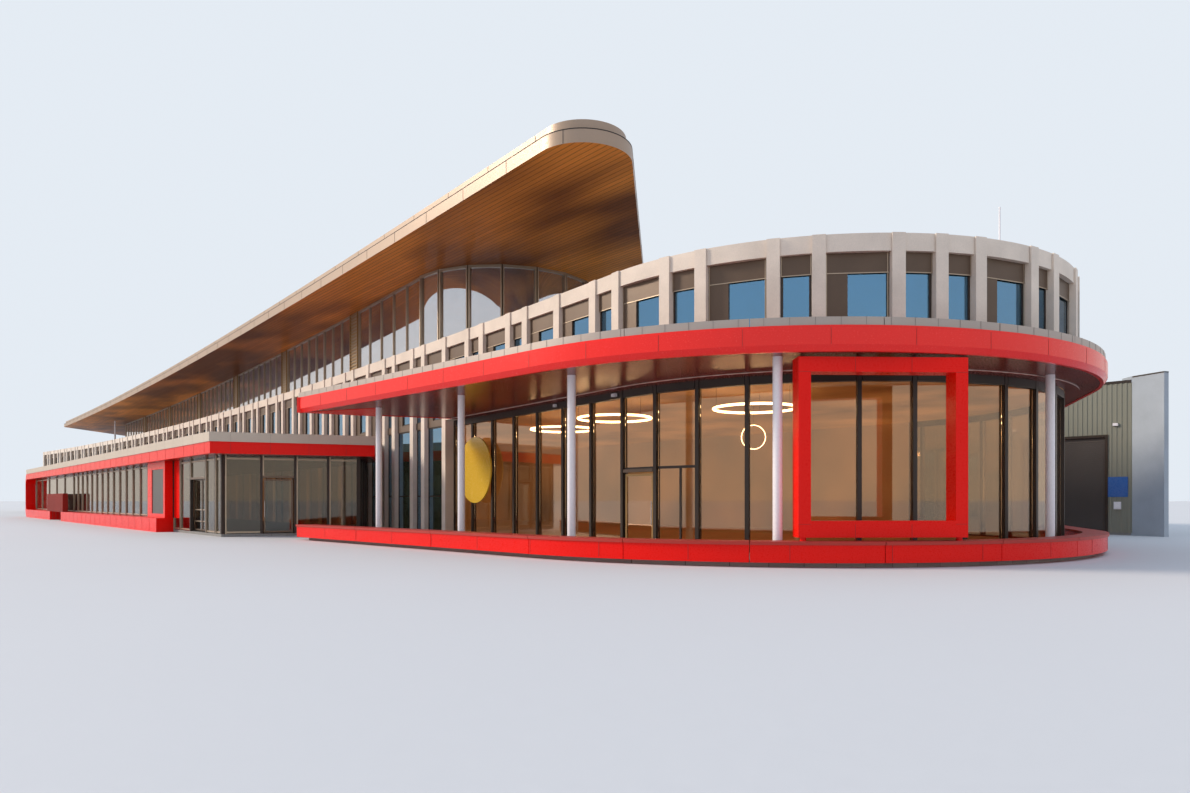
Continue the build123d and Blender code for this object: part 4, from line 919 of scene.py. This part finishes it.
# Roller shutter: slats and frame
SHUTTER_PITCH = 0.0095
SHUTTER_SLAT = 0.0075
SHUTTER_SET_BACK = 0.010
SHUTTER_PLAY = 0.001
SHUTTER_REACH = (-0.003, 0.001)
shutter_span = (SHUTTER_PLAY, SHUTTER[1] - SHUTTER[0] - SHUTTER_PLAY)
shutter = Shape()
for i in range(int((SHUTTER_HEAD - FLOOR_TOP) / SHUTTER_PITCH)):
    low = FLOOR_TOP + i * SHUTTER_PITCH
    place = (SHUTTER[0], STORE_FACE_Y + SHUTTER_SET_BACK, 0)
    shutter.block(place, shutter_span, SHUTTER_REACH, (low, low + SHUTTER_SLAT))
shutter.finish("shutter_slats", shutter_paint)

DOOR_FRAME_REACH = (-0.004, 0.008)
frame_top = SHUTTER_HEAD + DOOR_FRAME
door_frame = Shape()
for edge in ((SHUTTER[0] - DOOR_FRAME, SHUTTER[0]), (SHUTTER[1], SHUTTER[1] + DOOR_FRAME)):
    door_frame.block((0, STORE_FACE_Y, 0), edge, DOOR_FRAME_REACH, (FLOOR_TOP, frame_top))
door_frame.block((0, STORE_FACE_Y, 0), SHUTTER, DOOR_FRAME_REACH, (SHUTTER_HEAD, frame_top))
door_frame.finish("shutter_frame", dark_bronze)

# Two lamps on the store's front, and a small box with a lid
LAMPS_X = (0.16, 0.600)
LAMP_HALF = 0.010
LAMP_REACH = (-0.012, 0.0)
LAMP_LEVEL = (0.500, 0.512)
BOX_X = 0.608
BOX_HALF = 0.014
BOX_REACH = (-0.010, 0.0)
BOX_LEVEL = (0.118, 0.152)
LID_MARGIN = 0.004
LID_REACH = (-0.012, -0.010)
lid_level = (BOX_LEVEL[0] + LID_MARGIN, BOX_LEVEL[1] - LID_MARGIN)
fittings = Shape()
for x in LAMPS_X:
    fittings.block((x, STORE_FACE_Y, 0), about(0, LAMP_HALF), LAMP_REACH, LAMP_LEVEL)
fittings.block((BOX_X, STORE_FACE_Y, 0), about(0, BOX_HALF), BOX_REACH, BOX_LEVEL)
fittings.block((BOX_X, STORE_FACE_Y, 0), about(0, BOX_HALF - LID_MARGIN), LID_REACH, lid_level)
fittings.finish("store_fittings", white_paint)

# Roof: upright joints of both layers' edges, and a dark strip of painted shade in the gap between the layers
ROOF_JOINT_PITCH = 0.30
ROOF_JOINT_HALF = 0.0009
ROOF_JOINT_REACH = (-0.0006, 0.003)
ROOF_JOINT_MARGIN = 0.001
PAINTED_SHADE_GAP = 0.003
PAINTED_SHADE_REACH = (-0.004, 0.0005)
roof_edge = rim("roof_plate", ROOF_BOTTOM)
cover_edge = rim("roof_cover", ROOF_SPLIT)
roof_joints_and_shade = Shape()
for path, level in (
    (roof_edge, (ROOF_BOTTOM + ROOF_JOINT_MARGIN, ROOF_SPLIT - PAINTED_SHADE_GAP)),
    (cover_edge, (ROOF_SPLIT + ROOF_JOINT_MARGIN, ROOF_TOP - ROOF_JOINT_MARGIN)),
):
    roof_joints_and_shade.joints(path, ROOF_JOINT_PITCH, ROOF_JOINT_HALF, ROOF_JOINT_REACH, level)
# Painted shade: a dark strip along the roof's edge in the gap under the upper layer
roof_joints_and_shade.sweep(roof_edge, strip(PAINTED_SHADE_REACH, (ROOF_SPLIT - PAINTED_SHADE_GAP, ROOF_SPLIT)))
roof_joints_and_shade.finish("roof_joints_and_shade", dark_joint_and_shade)

# Ring lamps under the restaurant's ceiling on three wires each, and one small upright ring
RING_LAMPS = ((-0.339, -0.662, 0.45), (0.183, -0.545, 0.45), (-0.80, -0.52, 0.45))
RING_LAMP_RADIUS = 0.13
RING_LAMP_TUBE = 0.004
UPRIGHT_RING = (0.017, -0.331, 0.380)
UPRIGHT_RING_AXIS = (0.74, -0.67, 0)
UPRIGHT_RING_RADIUS = 0.042
UPRIGHT_RING_TUBE = 0.0012
WIRE_RADIUS = 0.0006
WIRE_STEP = 2.1
WIRE_SIDES = 6
lamp_rings = Shape()
wires = Shape()
for x, y, z in RING_LAMPS:
    lamp_rings.ring((x, y, z), (0, 0, 1), RING_LAMP_RADIUS, RING_LAMP_TUBE)
    for i in range(3):
        wire_x = x + RING_LAMP_RADIUS * cos(WIRE_STEP * i)
        wire_y = y + RING_LAMP_RADIUS * sin(WIRE_STEP * i)
        wires.rod((wire_x, wire_y, z), (wire_x, wire_y, SOFFIT), WIRE_RADIUS, WIRE_SIDES)
lamp_rings.ring(UPRIGHT_RING, UPRIGHT_RING_AXIS, UPRIGHT_RING_RADIUS, UPRIGHT_RING_TUBE)
wire_foot = (*UPRIGHT_RING[:2], UPRIGHT_RING[2] + UPRIGHT_RING_RADIUS)
wires.rod(wire_foot, (*UPRIGHT_RING[:2], SOFFIT), WIRE_RADIUS, WIRE_SIDES)
lamp_rings.finish("ring_lamps", lamp_light)
wires.finish("ring_lamp_wires", black)

# Restaurant glass: a bar along each pane's foot, and a cross bar and an upright bar in the divided pane
GLASS_BAR_PROUD = 0.002
FOOT_BAR = 0.006
DIVIDED_PANE_X = (0.0, 0.15)
DIVIDED_PANE_FRONT_Y = -0.5
DIVIDED_PANE_BAR = (0.255, 0.263)
DIVIDED_PANE_UPRIGHT = (0.078, 0.084)
glass_bars = Shape()
for points in solids("restaurant_glass"):
    place, along, aside, level = plate(points)
    depth = (aside[0] - GLASS_BAR_PROUD, aside[1] + GLASS_BAR_PROUD)
    glass_bars.block(place, along, depth, (level[0], level[0] + FOOT_BAR))
    if DIVIDED_PANE_X[0] < place[0] < DIVIDED_PANE_X[1] and place[1] < DIVIDED_PANE_FRONT_Y:
        glass_bars.block(place, along, depth, DIVIDED_PANE_BAR)
        upright = beside(along[0], DIVIDED_PANE_UPRIGHT)
        glass_bars.block(place, upright, depth, (level[0], DIVIDED_PANE_BAR[0]))
glass_bars.finish("restaurant_bars", dark_bronze)

# Pull bars of the hinged doors, riding on their leaves
HANDLE_INSET = 0.0035
HANDLE_STANDOFF = 0.004
HANDLE_LEVEL = (0.09, 0.15)
HANDLE_OVERHANG = 0.006
HANDLE_FOOT_RADIUS = 0.0010
HANDLE_FOOT_SIDES = 8
HANDLE_BAR_RADIUS = 0.0013


def handle(node, name, body, last):
    """Pull bars on both faces of a glazed leaf, near its last or its first upright."""
    place, along, aside = plate(solids(node)[0])[:3]
    spot = along[1] - HANDLE_INSET if last else along[0] + HANDLE_INSET
    low, high = HANDLE_LEVEL
    pull = Shape()
    for face, out in ((aside[0], -1), (aside[1], 1)):
        reach = face + out * HANDLE_STANDOFF
        for z in HANDLE_LEVEL:
            foot = spot_on(place, spot, face, z)
            pull.rod(foot, spot_on(place, spot, reach, z), HANDLE_FOOT_RADIUS, HANDLE_FOOT_SIDES)
        bar_foot = spot_on(place, spot, reach, low - HANDLE_OVERHANG)
        pull.rod(bar_foot, spot_on(place, spot, reach, high + HANDLE_OVERHANG), HANDLE_BAR_RADIUS)
    pull.finish(name, steel, body)


handle("side_leaf", "side_handle", "side_door", False)
handle("terrace_leaf", "terrace_handle", "terrace_door", True)

# Two thin rails across each sliding leaf
RAIL_FEET = (0.058, 0.112)
RAIL_HEIGHT = 0.005
RAIL_INSET = 0.007
RAIL_REACH = (0.001, 0.0025)
for node, body in (("sliding_leaf_left", "left_leaf"), ("sliding_leaf_right", "right_leaf")):
    place, along, aside = plate(solids(node)[0])[:3]
    inner = (along[0] + RAIL_INSET, along[1] - RAIL_INSET)
    rails = Shape()
    for foot in RAIL_FEET:
        rails.block(place, inner, beside(aside[0], RAIL_REACH), (foot, foot + RAIL_HEIGHT))
    rails.finish(node + "_rails", pale_bronze, body)

# Sky: warm at the horizon and blue above for the light, plain and pale where the camera sees it
SKY_STRENGTH = 0.95
HORIZON = (1.0, 0.90, 0.80)
ZENITH = (0.66, 0.80, 1.0)
BACKDROP = (0.82, 0.88, 0.95)
world = bpy.data.worlds.new("sky")
bpy.context.scene.world = world
world.use_nodes = True
sky = world.node_tree
background = sky.nodes["Background"]
background.inputs["Strength"].default_value = SKY_STRENGTH
height = sky.nodes.new("ShaderNodeSeparateXYZ")
sky.links.new(sky.nodes.new("ShaderNodeTexCoord").outputs["Generated"], height.inputs[0])
open_sky = blend(sky, spread(sky, height.outputs[2], 0, 1, 0.02, 0.55), HORIZON, ZENITH)
seen = sky.nodes.new("ShaderNodeLightPath")
sky.links.new(blend(sky, seen.outputs["Is Camera Ray"], open_sky, BACKDROP), background.inputs["Color"])

# Plain pale floor
FLOOR_HALF = 120
FLOOR_CORNERS = ((-1, -1), (1, -1), (1, 1), (-1, 1))
floor_mesh = bpy.data.meshes.new("studio_floor")
floor_mesh.from_pydata([(x * FLOOR_HALF, y * FLOOR_HALF, 0) for x, y in FLOOR_CORNERS], [], [(0, 1, 2, 3)])
floor_mesh.materials.append(
    surface("studio_floor", (0.60, 0.60, 0.61), 0.85, vary=0.02, size=2.0, grain=0.02, bump=0.02)
)
studio_floor = bpy.data.objects.new("studio_floor", floor_mesh)
bpy.context.scene.collection.objects.link(studio_floor)

# Soft low sun
SUN_DIRECTION = (0.70, 0.56, -0.44)
SUN_SPREAD = 12
lamp = bpy.data.lights.new("sun", "SUN")
lamp.energy = 3.0
lamp.color = (1.0, 0.86, 0.70)
lamp.angle = radians(SUN_SPREAD)
sun = bpy.data.objects.new("sun", lamp)
sun.rotation_euler = Vector(SUN_DIRECTION).to_track_quat("-Z", "Y").to_euler()
bpy.context.scene.collection.objects.link(sun)

# Camera at the photograph's place, level, with its lens moved up
EYE = (1.713, -2.598, 0.16)
VIEW_DIRECTION = (-0.7443, 0.6678, 0)
camera = bpy.data.cameras.new("camera")
camera.lens = 24
camera.sensor_width = 36
camera.shift_y = 0.087
camera.clip_start = 0.05
camera.clip_end = 500
eye = bpy.data.objects.new("camera", camera)
eye.location = EYE
eye.rotation_euler = Vector(VIEW_DIRECTION).to_track_quat("-Z", "Y").to_euler()
bpy.context.scene.collection.objects.link(eye)
bpy.context.scene.camera = eye
bpy.context.scene.view_settings.view_transform = "Standard"
